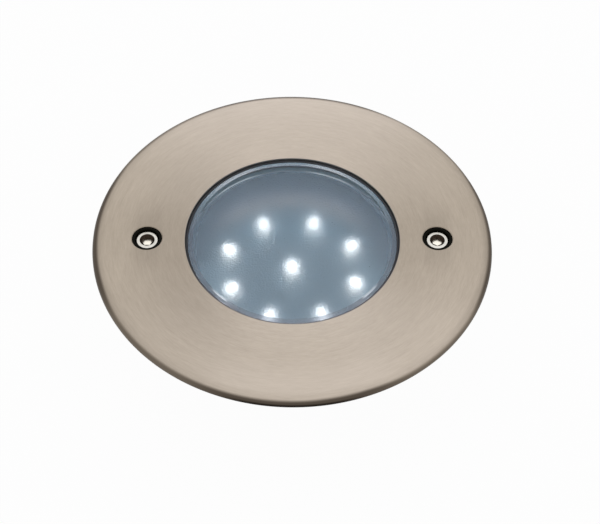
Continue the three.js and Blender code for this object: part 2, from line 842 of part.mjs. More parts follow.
// Gland body: threaded spigot into the boss, hexagon, and the neck that the clamping nut turns on
function glandBodyShape() {
  const outside = solid(turned([
    [0, -glandThreadLength],
    [glandThreadRadius, -glandThreadLength],
    [glandThreadRadius, glandSealingRingWidth],
    [glandHexRadius - glandHexEdgeBreak, glandSealingRingWidth],
    [glandHexRadius, glandSealingRingWidth + glandHexEdgeBreak],
    [glandHexRadius, glandHexEnd - glandHexEdgeBreak],
    [glandHexRadius - glandHexEdgeBreak, glandHexEnd],
    [glandNeckRadius, glandHexEnd],
    [glandNeckRadius, glandNeckEnd],
    [0, glandNeckEnd],
  ], holeSteps));
  const flats = solid(hexagon(glandHexAcrossFlats, -glandThreadLength, glandNeckEnd, Math.PI / 2));
  const bore = solid(turned([
    [0, -glandThreadLength - cutOverrun],
    [glandMouthRadius, -glandThreadLength - cutOverrun],
    [glandMouthRadius, glandSealStart],
    [glandSealRadius + turnedClearance, glandSealStart],
    [glandSealRadius + turnedClearance, glandNeckEnd + cutOverrun],
    [0, glandNeckEnd + cutOverrun],
  ], holeSteps));
  return alongGland(meshShape(outside.intersect(flats).subtract(bore)));
}

// Sealing ring squeezed between the gland's hexagon and the boss
function glandSealingRingShape() {
  const inner = glandThreadRadius + turnedClearance;
  const outer = inner + glandSealingRingSection;
  const round = glandSealingRingWidth / 2;
  return alongGland(turned([
    [inner, 0],
    ...arc(outer - round, round, round, -90, 90, domeSteps),
    [inner, glandSealingRingWidth],
  ], holeSteps));
}

// Rubber sleeve that grips the cable
function glandSealShape() {
  return alongGland(tube(glandCableRadius, glandSealRadius, glandSealStart, glandSealEnd, holeSteps));
}

// Clamping nut: a hexagon with a domed end
function glandNutShape() {
  const hexEnd = glandNutStart + glandNutHexLength;
  const shoulderRadius = THREE.MathUtils.lerp(glandHexRadius, glandNutEndRadius, glandNutShoulderShare);
  const outside = solid(turned([
    [0, glandNutStart],
    [glandHexRadius - glandHexEdgeBreak, glandNutStart],
    [glandHexRadius, glandNutStart + glandHexEdgeBreak],
    [glandHexRadius, hexEnd],
    [shoulderRadius, (hexEnd + glandNutEnd) / 2],
    [glandNutEndRadius, glandNutEnd],
    [0, glandNutEnd],
  ], holeSteps));
  const flats = solid(hexagon(glandHexAcrossFlats, glandNutStart, glandNutEnd, Math.PI / 2));
  const bore = solid(turned([
    [0, glandNutStart - cutOverrun],
    [glandNeckRadius + turnedClearance, glandNutStart - cutOverrun],
    [glandNeckRadius + turnedClearance, glandNutCavityEnd],
    [glandMouthRadius, glandNutCavityEnd],
    [glandMouthRadius, glandNutEnd + cutOverrun],
    [0, glandNutEnd + cutOverrun],
  ], holeSteps));
  return alongGland(meshShape(outside.intersect(flats).subtract(bore)));
}

const light = new THREE.Group();

function addPiece(name, shape, material, x = 0, y = 0) {
  const piece = new THREE.Mesh(shape, material);
  piece.name = name;
  piece.position.set(x, y, 0);
  light.add(piece);
}

function addTopPieces() {
  addPiece('bezel', bezelShape(), brushedStainless);
  for (const screw of screws) {
    addPiece(`${screw.side}_screw_bush`, screwBushShape(), blackNylon, screwX(screw));
    addPiece(`${screw.side}_spring_washer`, springWasherShape(), springSteel, screwX(screw));
    addPiece(`${screw.side}_bezel_screw`, screwShape(screw), brightStainless, screwX(screw));
    addPiece(`${screw.side}_thread_insert`, threadInsertShape(), brass, screwX(screw));
  }
  addPiece('lens_gasket', lensGasketShape(), blackRubber);
  addPiece('lens_glass', lensGlassShape(), lensGlassFinish);
  addPiece('seat_seal', seatSealShape(), blackRubber);
}

function addLightEngine() {
  addPiece('reflector_tray', reflectorTrayShape(), satinReflector);
  addPiece('led_board', ledBoardShape(), boardLaminate);
  ledPlaces().forEach((place, i) => {
    addPiece(i === 0 ? 'centre_led' : `ring_led_${i}`, ledShape(place), diodeFinish);
  });
}

function addDriver() {
  addPiece('driver_board', driverBoardShape(), boardLaminate);
  standoffPlaces().forEach(({ x, y }, i) => {
    addPiece(`driver_board_screw_${i + 1}`, boardScrewShape(), brightStainless, x, y);
  });
  addPiece('terminal_block', terminalBlockShape(), moulding);
  addPiece('choke_core', chokeCoreShape(), ferrite);
  addPiece('choke_winding', chokeWindingShape(), copperWinding);
  addPiece('capacitor', capacitorShape(), canSleeve);
  addPiece('rectifier', rectifierShape(), epoxy);
  addPiece('positive_lead', leadShape(-1), plastic(leadTones.positive, 0.5));
  addPiece('negative_lead', leadShape(1), plastic(leadTones.negative, 0.5));
}

function addHousingAndGland() {
  addPiece('housing', housingShape(), castAluminium);
  addPiece('gland_body', glandBodyShape(), blackNylon);
  addPiece('gland_sealing_ring', glandSealingRingShape(), blackRubber);
  addPiece('gland_seal', glandSealShape(), blackRubber);
  addPiece('gland_nut', glandNutShape(), blackNylon);
}

addTopPieces();
addLightEngine();
addDriver();
addHousingAndGland();

export default light;
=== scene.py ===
# %% [markdown]
# # A walkover light
# This small light is let into paving or decking, and people walk over it. From above it shows a flat
# ring of brushed stainless steel, two socket screws sunk in the ring, and a thick glass over a dish
# with nine lit diodes. The rest of it, a black cast housing with a cable gland, hides below the ring.
# The solids of the finished part come in first, as a frame. They give every piece its place and the way
# it moves, and each piece that is modelled here rides on one of their bodies.

# %% Load the frame
import math

import bmesh
import bpy
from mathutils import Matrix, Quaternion, Vector


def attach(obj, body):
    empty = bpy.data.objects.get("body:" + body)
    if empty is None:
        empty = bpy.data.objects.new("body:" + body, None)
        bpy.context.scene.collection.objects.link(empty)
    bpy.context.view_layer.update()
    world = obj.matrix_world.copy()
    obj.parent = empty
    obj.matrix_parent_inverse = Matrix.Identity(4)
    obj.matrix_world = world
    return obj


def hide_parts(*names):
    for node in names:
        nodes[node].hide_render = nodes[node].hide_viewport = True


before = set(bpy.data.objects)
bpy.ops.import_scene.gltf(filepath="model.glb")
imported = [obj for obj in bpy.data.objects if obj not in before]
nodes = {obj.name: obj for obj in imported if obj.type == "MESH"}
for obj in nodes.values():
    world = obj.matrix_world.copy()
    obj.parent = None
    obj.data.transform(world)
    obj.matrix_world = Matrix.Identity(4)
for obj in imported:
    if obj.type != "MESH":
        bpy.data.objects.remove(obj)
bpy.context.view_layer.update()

# %% [markdown]
# Blender works in metres, and a light like this is drawn in millimetres. One short helper turns
# millimetres into a vector in metres, so that every size below can be read as it would stand on the
# drawing.

# %% Millimetres
MM = 0.001


def mm(*values):
    """Millimetres as a vector in metres."""
    return Vector([value * MM for value in values])


# %% [markdown]
# The camera comes early, because it decides what the picture shows. The ring's outline in the
# photograph is an ellipse, and its shape and small departures from one give the height and the distance
# of the lens. The camera looks down by about 51 degrees from half a metre away, and is rolled by less
# than a degree.

# %% Place the camera
CAMERA_PLACE = mm(-4.0, -345.4, 460.4)
CAMERA_TARGET = mm(2.4, -10.1, 44.0)
CAMERA_ROLL = math.radians(0.9)

camera_data = bpy.data.cameras.new("camera")
camera_data.lens = 99.73
camera_data.sensor_width = 36.0
camera = bpy.data.objects.new("camera", camera_data)
bpy.context.scene.collection.objects.link(camera)
camera.rotation_mode = "QUATERNION"
camera.location = CAMERA_PLACE
look = (CAMERA_TARGET - CAMERA_PLACE).to_track_quat("-Z", "Y")
camera.rotation_quaternion = look @ Quaternion((0, 0, 1), CAMERA_ROLL)
bpy.context.scene.camera = camera
print("camera distance", round((CAMERA_TARGET - CAMERA_PLACE).length, 3), "m")

# %% [markdown]
# Blender's operators work on whatever is selected, so each helper first selects just what it means. By
# hand one clicks on faces and corners. A script picks them by a test of their place and their normal,
# which goes on working when a size changes, as a list of numbers would not.

# %% Select and edit
WELD = 0.000001


def only(piece):
    """Selects one object and nothing else."""
    bpy.ops.object.select_all(action="DESELECT")
    piece.select_set(True)
    bpy.context.view_layer.objects.active = piece


def open_mesh(piece):
    """Goes into edit mode with every vertex selected."""
    only(piece)
    bpy.ops.object.mode_set(mode="EDIT")
    bpy.ops.mesh.select_mode(type="VERT")
    bpy.ops.mesh.select_all(action="SELECT")


def close_mesh():
    """Leaves edit mode."""
    bpy.ops.object.mode_set(mode="OBJECT")


def pick(piece, kind, test):
    """In edit mode, selects the vertices, edges or faces whose middle and normal pass a test."""
    bpy.ops.mesh.select_mode(type=kind)
    bpy.ops.mesh.select_all(action="DESELECT")
    mesh = bmesh.from_edit_mesh(piece.data)
    if kind == "VERT":
        chosen = [vertex for vertex in mesh.verts if test(vertex.co, vertex.normal)]
    elif kind == "EDGE":
        chosen = [edge for edge in mesh.edges if all(test(end.co, end.normal) for end in edge.verts)]
    else:
        chosen = [face for face in mesh.faces if test(face.calc_center_median(), face.normal)]
    for element in chosen:
        element.select_set(True)
    bmesh.update_edit_mesh(piece.data)
    return len(chosen)


def give_slot(piece, number, test):
    """In edit mode, gives the faces that pass a test the piece's finish of that number."""
    count = pick(piece, "FACE", test)
    piece.active_material_index = number
    bpy.ops.object.material_slot_assign()
    return count


print("doubles are welded within", WELD / MM, "mm")

# %% [markdown]
# Nearly every piece of this light is turned on a lathe or cast in a round mould. So most of the
# modelling is one idea: draw half of the section as a wire of points, round its corners, and spin it
# round the upright axis. The wire starts as a single vertex, a plane merged to its middle, and each
# further point is one extrusion of it, as it would be by hand.

# %% Draw a section and spin it
ROUNDING_STEPS = 5


def draw_wire(name, corners):
    """A wire of (radius, height) or (radius, height, rounding) corners in the XZ plane."""
    bpy.ops.object.select_all(action="DESELECT")
    bpy.ops.mesh.primitive_plane_add(size=MM)
    piece = bpy.context.active_object
    piece.name = piece.data.name = name
    open_mesh(piece)
    bpy.ops.mesh.merge(type="CENTER")
    places = [mm(corner[0], 0, corner[1]) for corner in corners]
    bpy.ops.transform.translate(value=places[0])
    for start, end in zip(places, places[1:]):
        bpy.ops.mesh.extrude_region_move(TRANSFORM_OT_translate={"value": end - start})
    if corners[0][0] > 0:
        bpy.ops.mesh.extrude_region_move(TRANSFORM_OT_translate={"value": places[0] - places[-1]})
        bpy.ops.mesh.select_all(action="SELECT")
        bpy.ops.mesh.remove_doubles(threshold=WELD)
    for corner, place in zip(corners, places):
        if len(corner) > 2:
            pick(piece, "VERT", lambda point, normal: (point - place).length < WELD)
            bpy.ops.mesh.bevel(offset=corner[2] * MM, segments=ROUNDING_STEPS, affect="VERTICES")
    return piece


def turn(name, corners, steps=192):
    """A round body: its half section, drawn and spun about the upright axis."""
    piece = draw_wire(name, corners)
    bpy.ops.mesh.select_all(action="SELECT")
    bpy.ops.mesh.spin(steps=steps, angle=math.tau, center=(0, 0, 0), axis=(0, 0, 1))
    bpy.ops.mesh.select_all(action="SELECT")
    bpy.ops.mesh.remove_doubles(threshold=WELD)
    bpy.ops.mesh.normals_make_consistent(inside=False)
    close_mesh()
    return piece


print("each rounded corner gets", ROUNDING_STEPS, "steps")

# %% [markdown]
# A spun body stands on the upright axis at first. A few more helpers bring it to its place, copy it,
# cut it or join it with others, and make the few prisms and boxes that no lathe could. The last one
# hands a finished piece to the frame: it rides on one body and takes the place of its plain solids.


# %% Place, copy and combine
def settle(piece, place=(0, 0, 0), turned=(0, 0, 0)):
    """Turns and moves a mesh and leaves its object unturned at the origin."""
    only(piece)
    piece.rotation_euler = turned
    piece.location = mm(*place)
    bpy.ops.object.transform_apply(location=True, rotation=True, scale=True)
    return piece


def on_circle(radius, angle):
    """A place on a circle round the upright axis."""
    return (radius * math.cos(angle), radius * math.sin(angle), 0)


def copy_piece(piece, name):
    """A copy with a mesh of its own."""
    only(piece)
    bpy.ops.object.duplicate(linked=False)
    copy = bpy.context.active_object
    copy.name = copy.data.name = name
    return copy


def combine(piece, tools, operation):
    """Joins, cuts or intersects a piece with other bodies, which are used up."""
    for tool in tools:
        only(piece)
        modifier = piece.modifiers.new("combine", "BOOLEAN")
        modifier.operation = operation
        modifier.solver = "EXACT"
        modifier.object = tool
        bpy.ops.object.modifier_apply(modifier=modifier.name)
        bpy.data.objects.remove(tool)
    return piece


def bar(name, across, bottom, top, sides=6, turned=0.0):
    """An upright prism with that many sides, measured across its flats."""
    bpy.ops.object.select_all(action="DESELECT")
    bpy.ops.mesh.primitive_cylinder_add(
        vertices=sides, radius=across / 2 / math.cos(math.pi / sides) * MM, depth=(top - bottom) * MM
    )
    piece = bpy.context.active_object
    piece.name = piece.data.name = name
    return settle(piece, (0, 0, (top + bottom) / 2), (0, 0, turned))


def box_body(name, low, high):
    """A box between two corners."""
    bpy.ops.object.select_all(action="DESELECT")
    bpy.ops.mesh.primitive_cube_add(size=1)
    piece = bpy.context.active_object
    piece.name = piece.data.name = name
    piece.scale = mm(*high) - mm(*low)
    return settle(piece, [(a + b) / 2 for a, b in zip(low, high)])


def finish_piece(piece, body, replaced, finish, smooth_within=35):
    """Smooths a piece, gives it its finish, and lets it ride on its body in place of its solids."""
    only(piece)
    assert len(piece.data.polygons) > 0, piece.name
    bpy.ops.object.shade_smooth_by_angle(angle=math.radians(smooth_within))
    if not piece.data.materials:
        piece.data.materials.append(finish.material)
    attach(piece, body)
    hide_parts(*replaced)
    print(piece.name, "has", len(piece.data.polygons), "faces")


print("on a 10 mm circle:", [round(value, 2) for value in on_circle(10, math.radians(30))])

# %% [markdown]
# A finish is a material with one Principled shader. What changes over a surface is worked out by small
# nodes, and those are easier to read as sums than as a web of links. So one class wraps a node's
# output, and Python's own operators add Math nodes for it.


# %% Shader sums
class Signal:
    """The output of a shader node, which Python's operators can work on."""

    def __init__(self, finish, socket):
        self.finish = finish
        self.socket = socket

    def __add__(self, other):
        return self.finish.math("ADD", self, other)

    def __radd__(self, other):
        return self.finish.math("ADD", other, self)

    def __sub__(self, other):
        return self.finish.math("SUBTRACT", self, other)

    def __rsub__(self, other):
        return self.finish.math("SUBTRACT", other, self)

    def __mul__(self, other):
        return self.finish.math("MULTIPLY", self, other)

    def __rmul__(self, other):
        return self.finish.math("MULTIPLY", other, self)

    def __truediv__(self, other):
        return self.finish.math("DIVIDE", self, other)

    def __rtruediv__(self, other):
        return self.finish.math("DIVIDE", other, self)

    def __pow__(self, other):
        return self.finish.math("POWER", self, other)

    def __abs__(self):
        return self.finish.math("ABSOLUTE", self)

    def sine(self):
        return self.finish.math("SINE", self)


print("sums of", Signal.__name__, "objects become Math nodes")

# %% [markdown]
# A second class holds the material, with a single method that adds any other node: first its settings,
# then what goes into its sockets. The methods under it are for what comes up again and again, such as
# noise, fades between two values, blends of two colours and bumps.


# %% Finishes
class Finish:
    """A material with one Principled shader; its constant values are given by their sockets' names."""

    def __init__(self, name, color=(0.5, 0.5, 0.5), **constants):
        self.material = bpy.data.materials.new(name)
        self.material.use_nodes = True
        self.tree = self.material.node_tree
        self.shader = self.tree.nodes["Principled BSDF"]
        self.shader.inputs["Base Color"].default_value = (*color, 1)
        for socket, value in constants.items():
            self.shader.inputs[socket.replace("_", " ")].default_value = value

    def node(self, kind, settings=None, sockets=None, output=0):
        """Adds a node: its settings first, then the values or links of its sockets."""
        added = self.tree.nodes.new(kind)
        for name, value in (settings or {}).items():
            setattr(added, name, value)
        for name, value in (sockets or {}).items():
            self.feed(added.inputs[name], value)
        return Signal(self, added.outputs[output])

    def math(self, operation, *values):
        return self.node("ShaderNodeMath", {"operation": operation}, dict(enumerate(values)))

    def feed(self, socket, value):
        if isinstance(value, Signal):
            self.tree.links.new(value.socket, socket)
        else:
            socket.default_value = value

    def set(self, socket, value):
        """Feeds one socket of the Principled shader."""
        self.feed(self.shader.inputs[socket], value)

    def place(self):
        """The point on the piece, in metres, from the middle of the light's base."""
        return self.node("ShaderNodeTexCoord", output=3)

    def split(self, vector):
        """The X, Y and Z of a vector."""
        parts = self.node("ShaderNodeSeparateXYZ", sockets={0: vector})
        return [Signal(self, output) for output in parts.socket.node.outputs]

    def vector(self, x, y, z):
        return self.node("ShaderNodeCombineXYZ", sockets={0: x, 1: y, 2: z})

    def noise(self, vector, scale, detail=2.0, roughness=0.5):
        return self.node(
            "ShaderNodeTexNoise",
            sockets={"Vector": vector, "Scale": scale, "Detail": detail, "Roughness": roughness},
        )

    def grain(self, scale, detail=2.0, roughness=0.5):
        """Noise over the place on the piece, the same in every direction."""
        return self.noise(self.place(), scale, detail, roughness)

    def fade(self, value, start, end):
        """0 up to the start value, 1 from the end value on, and smooth between them."""
        return self.node(
            "ShaderNodeMapRange",
            {"interpolation_type": "SMOOTHSTEP"},
            {"Value": value, "From Min": start, "From Max": end},
        )

    def band(self, value, start, full, waning, end):
        """Fades in between the first two values and out again between the last two."""
        return self.fade(value, start, full) * (1 - self.fade(value, waning, end))

    def blend(self, mask, low, high):
        """The low colour where the mask is 0, the high colour where it is 1."""
        first, second = [color if isinstance(color, Signal) else (*color, 1) for color in (low, high)]
        sockets = {0: mask, 6: first, 7: second}
        return self.node("ShaderNodeMix", {"data_type": "RGBA"}, sockets, output=2)

    def paint(self, mask, low, high):
        """Feeds a blend of two colours to the shader's base colour."""
        self.set("Base Color", self.blend(mask, low, high))

    def ripple(self, height, depth, strength):
        """Feeds a height to the shader's normal, as a bump of that depth in metres."""
        sockets = {"Height": height, "Distance": depth, "Strength": strength}
        self.set("Normal", self.node("ShaderNodeBump", sockets=sockets))

    def report(self):
        print(self.material.name, "has", len(self.tree.nodes), "nodes")


print("a finish can", ", ".join(name for name in vars(Finish) if not name.startswith("_")))

# %% [markdown]
# ## The bezel
# The real bezel is turned from stainless steel plate, about two millimetres thick at its rim, and its
# top is brushed in circles. Its rim is well rounded, its opening only just broken, and its underside
# steps up inside the rim to clear the flange of the housing. Each screw sits in a boss that hangs below
# the plate. Sizes that several pieces share get names here, so that neighbours always fit.

# %% Heights and radii of the top pieces
BEZEL_TOP = 44.0
BEZEL_SEAT = 42.0
BEZEL_PLATE = 42.3
BEZEL_RADIUS = 65.0
SEAT_RADIUS = 56.3
OPENING_RADIUS = 34.9
BOSS_RADIUS = 6.2
BOSS_BOTTOM = 35.7
SCREW_X = 47.3
HOLE_RADIUS = 4.9
HOLE_FLOOR = 37.2
HOLE_CHAMFER = 0.25
SHANK_HOLE_RADIUS = 2.3
SIDES = {"left": -1, "right": 1}
print("the bezel's plate is", round(BEZEL_TOP - BEZEL_PLATE, 2), "mm thick")

# %% [markdown]
# The ring could be a cylinder with a hole cut in it, but then its rounded rim would need many bevels.
# Spun from its section it has them from the start. The bosses are joined to it, and one stepped cutter
# makes each screw hole, as a counterbore does in the workshop.

# %% Model the bezel
bezel = turn("bezel_ring", [
    (OPENING_RADIUS, BEZEL_PLATE),
    (SEAT_RADIUS, BEZEL_PLATE),
    (SEAT_RADIUS, BEZEL_SEAT, 0.1),
    (BEZEL_RADIUS, BEZEL_SEAT, 0.25),
    (BEZEL_RADIUS, BEZEL_TOP, 1.6),
    (OPENING_RADIUS, BEZEL_TOP, 0.12),
], steps=256)
bosses = []
cutters = []
for direction in SIDES.values():
    boss = turn("boss", [
        (0, BOSS_BOTTOM),
        (BOSS_RADIUS, BOSS_BOTTOM, 0.3),
        (BOSS_RADIUS, BEZEL_TOP - 1),
        (0, BEZEL_TOP - 1),
    ], steps=96)
    bosses.append(settle(boss, (direction * SCREW_X, 0, 0)))
    cutter = turn("cutter", [
        (0, BOSS_BOTTOM - 2.7),
        (SHANK_HOLE_RADIUS, BOSS_BOTTOM - 2.7),
        (SHANK_HOLE_RADIUS, HOLE_FLOOR),
        (HOLE_RADIUS, HOLE_FLOOR),
        (HOLE_RADIUS, BEZEL_TOP - HOLE_CHAMFER),
        (HOLE_RADIUS + HOLE_CHAMFER, BEZEL_TOP),
        (HOLE_RADIUS + HOLE_CHAMFER, BEZEL_TOP + 2),
        (0, BEZEL_TOP + 2),
    ], steps=96)
    cutters.append(settle(cutter, (direction * SCREW_X, 0, 0)))
combine(bezel, bosses, "UNION")
combine(bezel, cutters, "DIFFERENCE")
print("bezel across", round(bezel.dimensions.x / MM, 2), "mm")

# %% [markdown]
# Brushed steel is not one colour. A belt leaves thousands of shallow scratches that run round the ring,
# so the sheen is stretched across them: the ring is bright where the light comes in across its
# scratches and duller to the left and right. The Principled shader's anisotropy does this, turned by a
# quarter so that it follows the circles. The scratches themselves are noise that is drawn out along the
# circle: its coordinates are the direction from the centre, which changes slowly, and the radius, which
# changes fast. Three such layers, fine scratches, short dashes and broad bands, are mixed with soft
# clouds. Inside a finish all lengths are in metres.

# %% Scratches in the steel
steel = Finish(
    "brushed_steel",
    color=(0.44, 0.385, 0.32),
    Metallic=1.0,
    Anisotropic=0.75,
    Anisotropic_Rotation=0.25,
)
x, y, z = steel.split(steel.place())
radius = (x * x + y * y) ** 0.5
east, north = x / radius, y / radius


def streaks(around, across, detail, roughness=0.5):
    """Noise that changes slowly round the circle and fast across it."""
    place = steel.vector(east * around, north * around, radius * across)
    return steel.noise(place, 1.0, detail, roughness)


scratches = streaks(9, 5200, 3.0, 0.65)
bands = streaks(6, 900, 2.0)
clouds = steel.grain(38.0)
dashes = streaks(19, 3500, 2.0, 0.6)
shade = (scratches - 0.5) * 0.7 + (bands - 0.5) * 0.35 + (clouds - 0.5) * 0.25
shade = shade + (dashes - 0.5) * 0.5 + 0.5
brushed = steel.blend(shade, (0.325, 0.275, 0.218), (0.51, 0.436, 0.352))
steel.report()

# %% [markdown]
# The ring's tone has painted light and shade in it. Painted shade makes it duller beside the screws,
# along its outer edge to the left and right, near the opening on those sides and at the near left. A
# painted sheen makes it paler on its far side, in front and at the near right. Each of these is a mask
# that fades in by place and mixes in a little of one shade tone or one sheen tone.

# %% Painted shade and sheen
PAINTED_SHADE_TONE = (0.12, 0.098, 0.075)
PAINTED_SHEEN_TONE = (0.62, 0.54, 0.455)

# painted shade: duller beside the screws, along the outer edge, by the opening and at the near left
shade_beside_screws = 1 - steel.fade(abs(abs(x) - SCREW_X * MM), 0.0025, 0.0060)
shade_beside_screws = shade_beside_screws * (1 - steel.fade(abs(y), 0.006, 0.017)) * 0.14
outer_edge_shade = steel.fade(radius, 0.0610, 0.0640) * east * east * 0.35
shade_by_opening = steel.fade(east * -1, 0.3, 0.9) * 0.20 + steel.fade(east, 0.3, 0.9) * 0.11
shade_by_opening = shade_by_opening * (1 - steel.fade(radius, 0.0400, 0.0590))
near_side = steel.fade(north * -1, 0.3, 0.7)
near_left_shade = near_side * steel.fade(east * -1, 0.15, 0.5) * 0.07
for painted_shade in (shade_beside_screws, outer_edge_shade, shade_by_opening, near_left_shade):
    brushed = steel.blend(painted_shade, brushed, PAINTED_SHADE_TONE)

# painted sheen: paler in front, at the near right and on the far side
front_sheen = steel.fade(north * -1, 0.80, 0.98) * steel.band(radius, 0.047, 0.058, 0.0605, 0.0630) * 0.22
near_right_sheen = near_side * steel.fade(east, 0.15, 0.5) * 0.11
far_sheen = steel.fade(north, 0.1, 0.6) * 0.14
brushed = steel.blend(front_sheen + near_right_sheen + far_sheen, brushed, PAINTED_SHEEN_TONE)
steel.report()

# %% [markdown]
# The rolled rim is darker, from a painted reflection of dark surroundings in its colour. How far in
# that begins differs by a few tenths of a millimetre from side to side. The painted reflection is paler
# between the front and the sides, and painted shade makes it almost black low down at the very front.
# The wall of the opening is painted a flat grey for its shade.

# %% Painted reflection on the rim and painted shade on the wall
sideways = abs(east)
sides = steel.fade(sideways, 0.85, 0.97)
wedge = steel.band(east, 0.05, 0.2, 0.35, 0.5) * (1 - steel.fade(north, -0.7, -0.5))
earlier = wedge * 0.0001 + steel.fade(north, 0.2, 0.8) * 0.0005 + sides * 0.0006
earlier = earlier - steel.fade(east, 0.35, 0.6) * 0.0004
# painted reflection: the rim's colour is darkened for the dark surroundings it would mirror
rim_reflection = steel.fade(radius + earlier, 0.0633, 0.0645)
paler_reflection = steel.fade(sideways, 0.3, 0.6) * (1 - sides)
rim_reflection_tone = steel.blend(paler_reflection, (0.088, 0.070, 0.054), (0.155, 0.128, 0.100))
brushed = steel.blend(rim_reflection, brushed, rim_reflection_tone)
# painted shade, almost black, low down at the very front of the rim
low_front_shade = (1 - steel.fade(z, 0.0428, 0.0434)) * rim_reflection * (1 - steel.fade(north, -0.985, -0.93))
brushed = steel.blend(low_front_shade, brushed, (0.02, 0.015, 0.011))
# painted shade on the wall of the opening
shaded_wall = 1 - steel.fade(radius, 0.03495, 0.03515)
steel.paint(shaded_wall, brushed, (0.16, 0.158, 0.155))
steel.set("Roughness", 0.38 + (scratches - 0.5) * 0.2)
steel.ripple(scratches, 0.00002, 0.35)

finish_piece(bezel, "bezel", ["bezel"], steel)

# %% [markdown]
# ## The screws
# An M4 socket screw is turned from bar: a round head with a softened edge, a hexagon broached into it
# through a countersunk mouth, and a rolled thread. The head is a spun section, from which a cone and a
# hexagonal bar are cut. The thread is a zigzag of one pitch that the Screw modifier carries round and
# up, capped by a core.

# %% Model one screw
HEAD_TOP = 42.9
HEAD_BOTTOM = 38.9
HEAD_RADIUS = 3.5
SHANK_TIP = 28.9
CORE_RADIUS = 1.62
THREAD_RADIUS = 1.98
THREAD_PITCH = 0.7
THREAD_TURNS = 12
MOUTH_RADIUS = 2.45
MOUTH_DEPTH = 0.72
SOCKET_DEPTH = 1.5
SOCKET_ACROSS_FLATS = 3.0

screw = turn("screw", [
    (0, SHANK_TIP),
    (1.45, SHANK_TIP, 0.1),
    (CORE_RADIUS, SHANK_TIP + 0.3, 0.1),
    (CORE_RADIUS, HEAD_BOTTOM - 1.0),
    (THREAD_RADIUS, HEAD_BOTTOM - 0.6),
    (THREAD_RADIUS, HEAD_BOTTOM),
    (HEAD_RADIUS, HEAD_BOTTOM, 0.2),
    (HEAD_RADIUS, HEAD_TOP, 0.22),
    (0, HEAD_TOP),
], steps=96)
thread = draw_wire("thread", [
    (1.5, SHANK_TIP + 0.35),
    (1.64, SHANK_TIP + 0.35),
    (1.97, SHANK_TIP + 0.62),
    (1.97, SHANK_TIP + 0.70),
    (1.64, SHANK_TIP + 0.97),
    (1.5, SHANK_TIP + 0.97),
])
close_mesh()
coil = thread.modifiers.new("coil", "SCREW")
coil.axis = "Z"
coil.angle = math.tau
coil.screw_offset = THREAD_PITCH * MM
coil.iterations = THREAD_TURNS
coil.steps = coil.render_steps = 40
coil.use_merge_vertices = True
coil.merge_threshold = WELD
only(thread)
bpy.ops.object.modifier_apply(modifier="coil")
open_mesh(thread)
bpy.ops.mesh.remove_doubles(threshold=WELD)
bpy.ops.mesh.fill_holes(sides=0)
bpy.ops.mesh.normals_make_consistent(inside=False)
close_mesh()
print("thread height", round(thread.dimensions.z / MM, 2), "mm")

# %% [markdown]
# The screws are brighter than the bezel, because they are polished by tumbling and not brushed. Fine
# rings from the lathe are left on them. Both screws share the finish, so the pattern is measured from
# each screw's own axis, and taking the size of X without its sign does that for both. Inside the socket
# the walls are painted nearly black for the shade there, and its flat floor is a paler copy of the
# steel, a painted highlight, that mirrors the sky, so each of the two has a finish of its own.

# %% Bright steel and the inside of the socket
bright_steel = Finish("bright_steel", color=(0.84, 0.82, 0.76), Metallic=1.0)
x, y = bright_steel.split(bright_steel.place())[:2]
off_axis = abs(x) - SCREW_X * MM
from_axis = (off_axis * off_axis + y * y) ** 0.5
lathe_rings = bright_steel.noise(bright_steel.vector(0.0, 0.0, from_axis * 9000), 1.0, 2.0)
grime = bright_steel.grain(900.0, 3.0)
bright_steel.paint(grime, (0.50, 0.48, 0.425), (0.745, 0.715, 0.645))
bright_steel.set("Roughness", 0.2 + lathe_rings * 0.14)
bright_steel.ripple(lathe_rings, 0.00001, 0.3)

# painted shade: the socket's walls are nearly black for the shade inside it
socket_steel = Finish("socket_steel", color=(0.07, 0.055, 0.045), Metallic=1.0)
socket_shade = socket_steel.grain(1600.0, 3.0)
socket_steel.paint(socket_shade, (0.010, 0.007, 0.004), (0.060, 0.043, 0.032))
socket_steel.set("Roughness", 0.35 + socket_shade * 0.2)

# painted highlight: the socket's floor is a paler copy of the screw's steel
socket_floor = Finish("socket_floor", color=(0.92, 0.87, 0.76), Metallic=1.0, Roughness=0.3)
broach_marks = socket_floor.grain(2400.0, 3.0)
socket_floor.paint(broach_marks, (0.80, 0.75, 0.64), (1.0, 0.95, 0.83))
for finish in (bright_steel, socket_steel, socket_floor):
    finish.report()

# %% [markdown]
# The socket is cut into a copy for each side, because the two screws came to rest at different angles.
# A cone takes the place of the countersink and a hexagonal bar that of the broach. The faces inside are
# then found by their depth below the top of the head, and get the dark finish or that of the floor.


# %% Sink the socket
def sink_socket(piece, turned):
    """Cuts the hexagon and its countersunk mouth."""
    mouth = turn("mouth", [
        (0, HEAD_TOP - MOUTH_DEPTH),
        (1.72, HEAD_TOP - MOUTH_DEPTH),
        (MOUTH_RADIUS, HEAD_TOP),
        (MOUTH_RADIUS, HEAD_TOP + 1),
        (0, HEAD_TOP + 1),
    ], steps=96)
    hexagon = bar("hexagon", SOCKET_ACROSS_FLATS, HEAD_TOP - SOCKET_DEPTH, HEAD_TOP + 1, turned=turned)
    return combine(piece, [mouth, hexagon], "DIFFERENCE")


def in_socket(low, high):
    """A test for faces inside the socket, between two depths in millimetres."""
    def test(point, normal):
        depth = HEAD_TOP - point.z / MM
        return math.hypot(point.x, point.y) < MOUTH_RADIUS * MM and low < depth < high

    return test


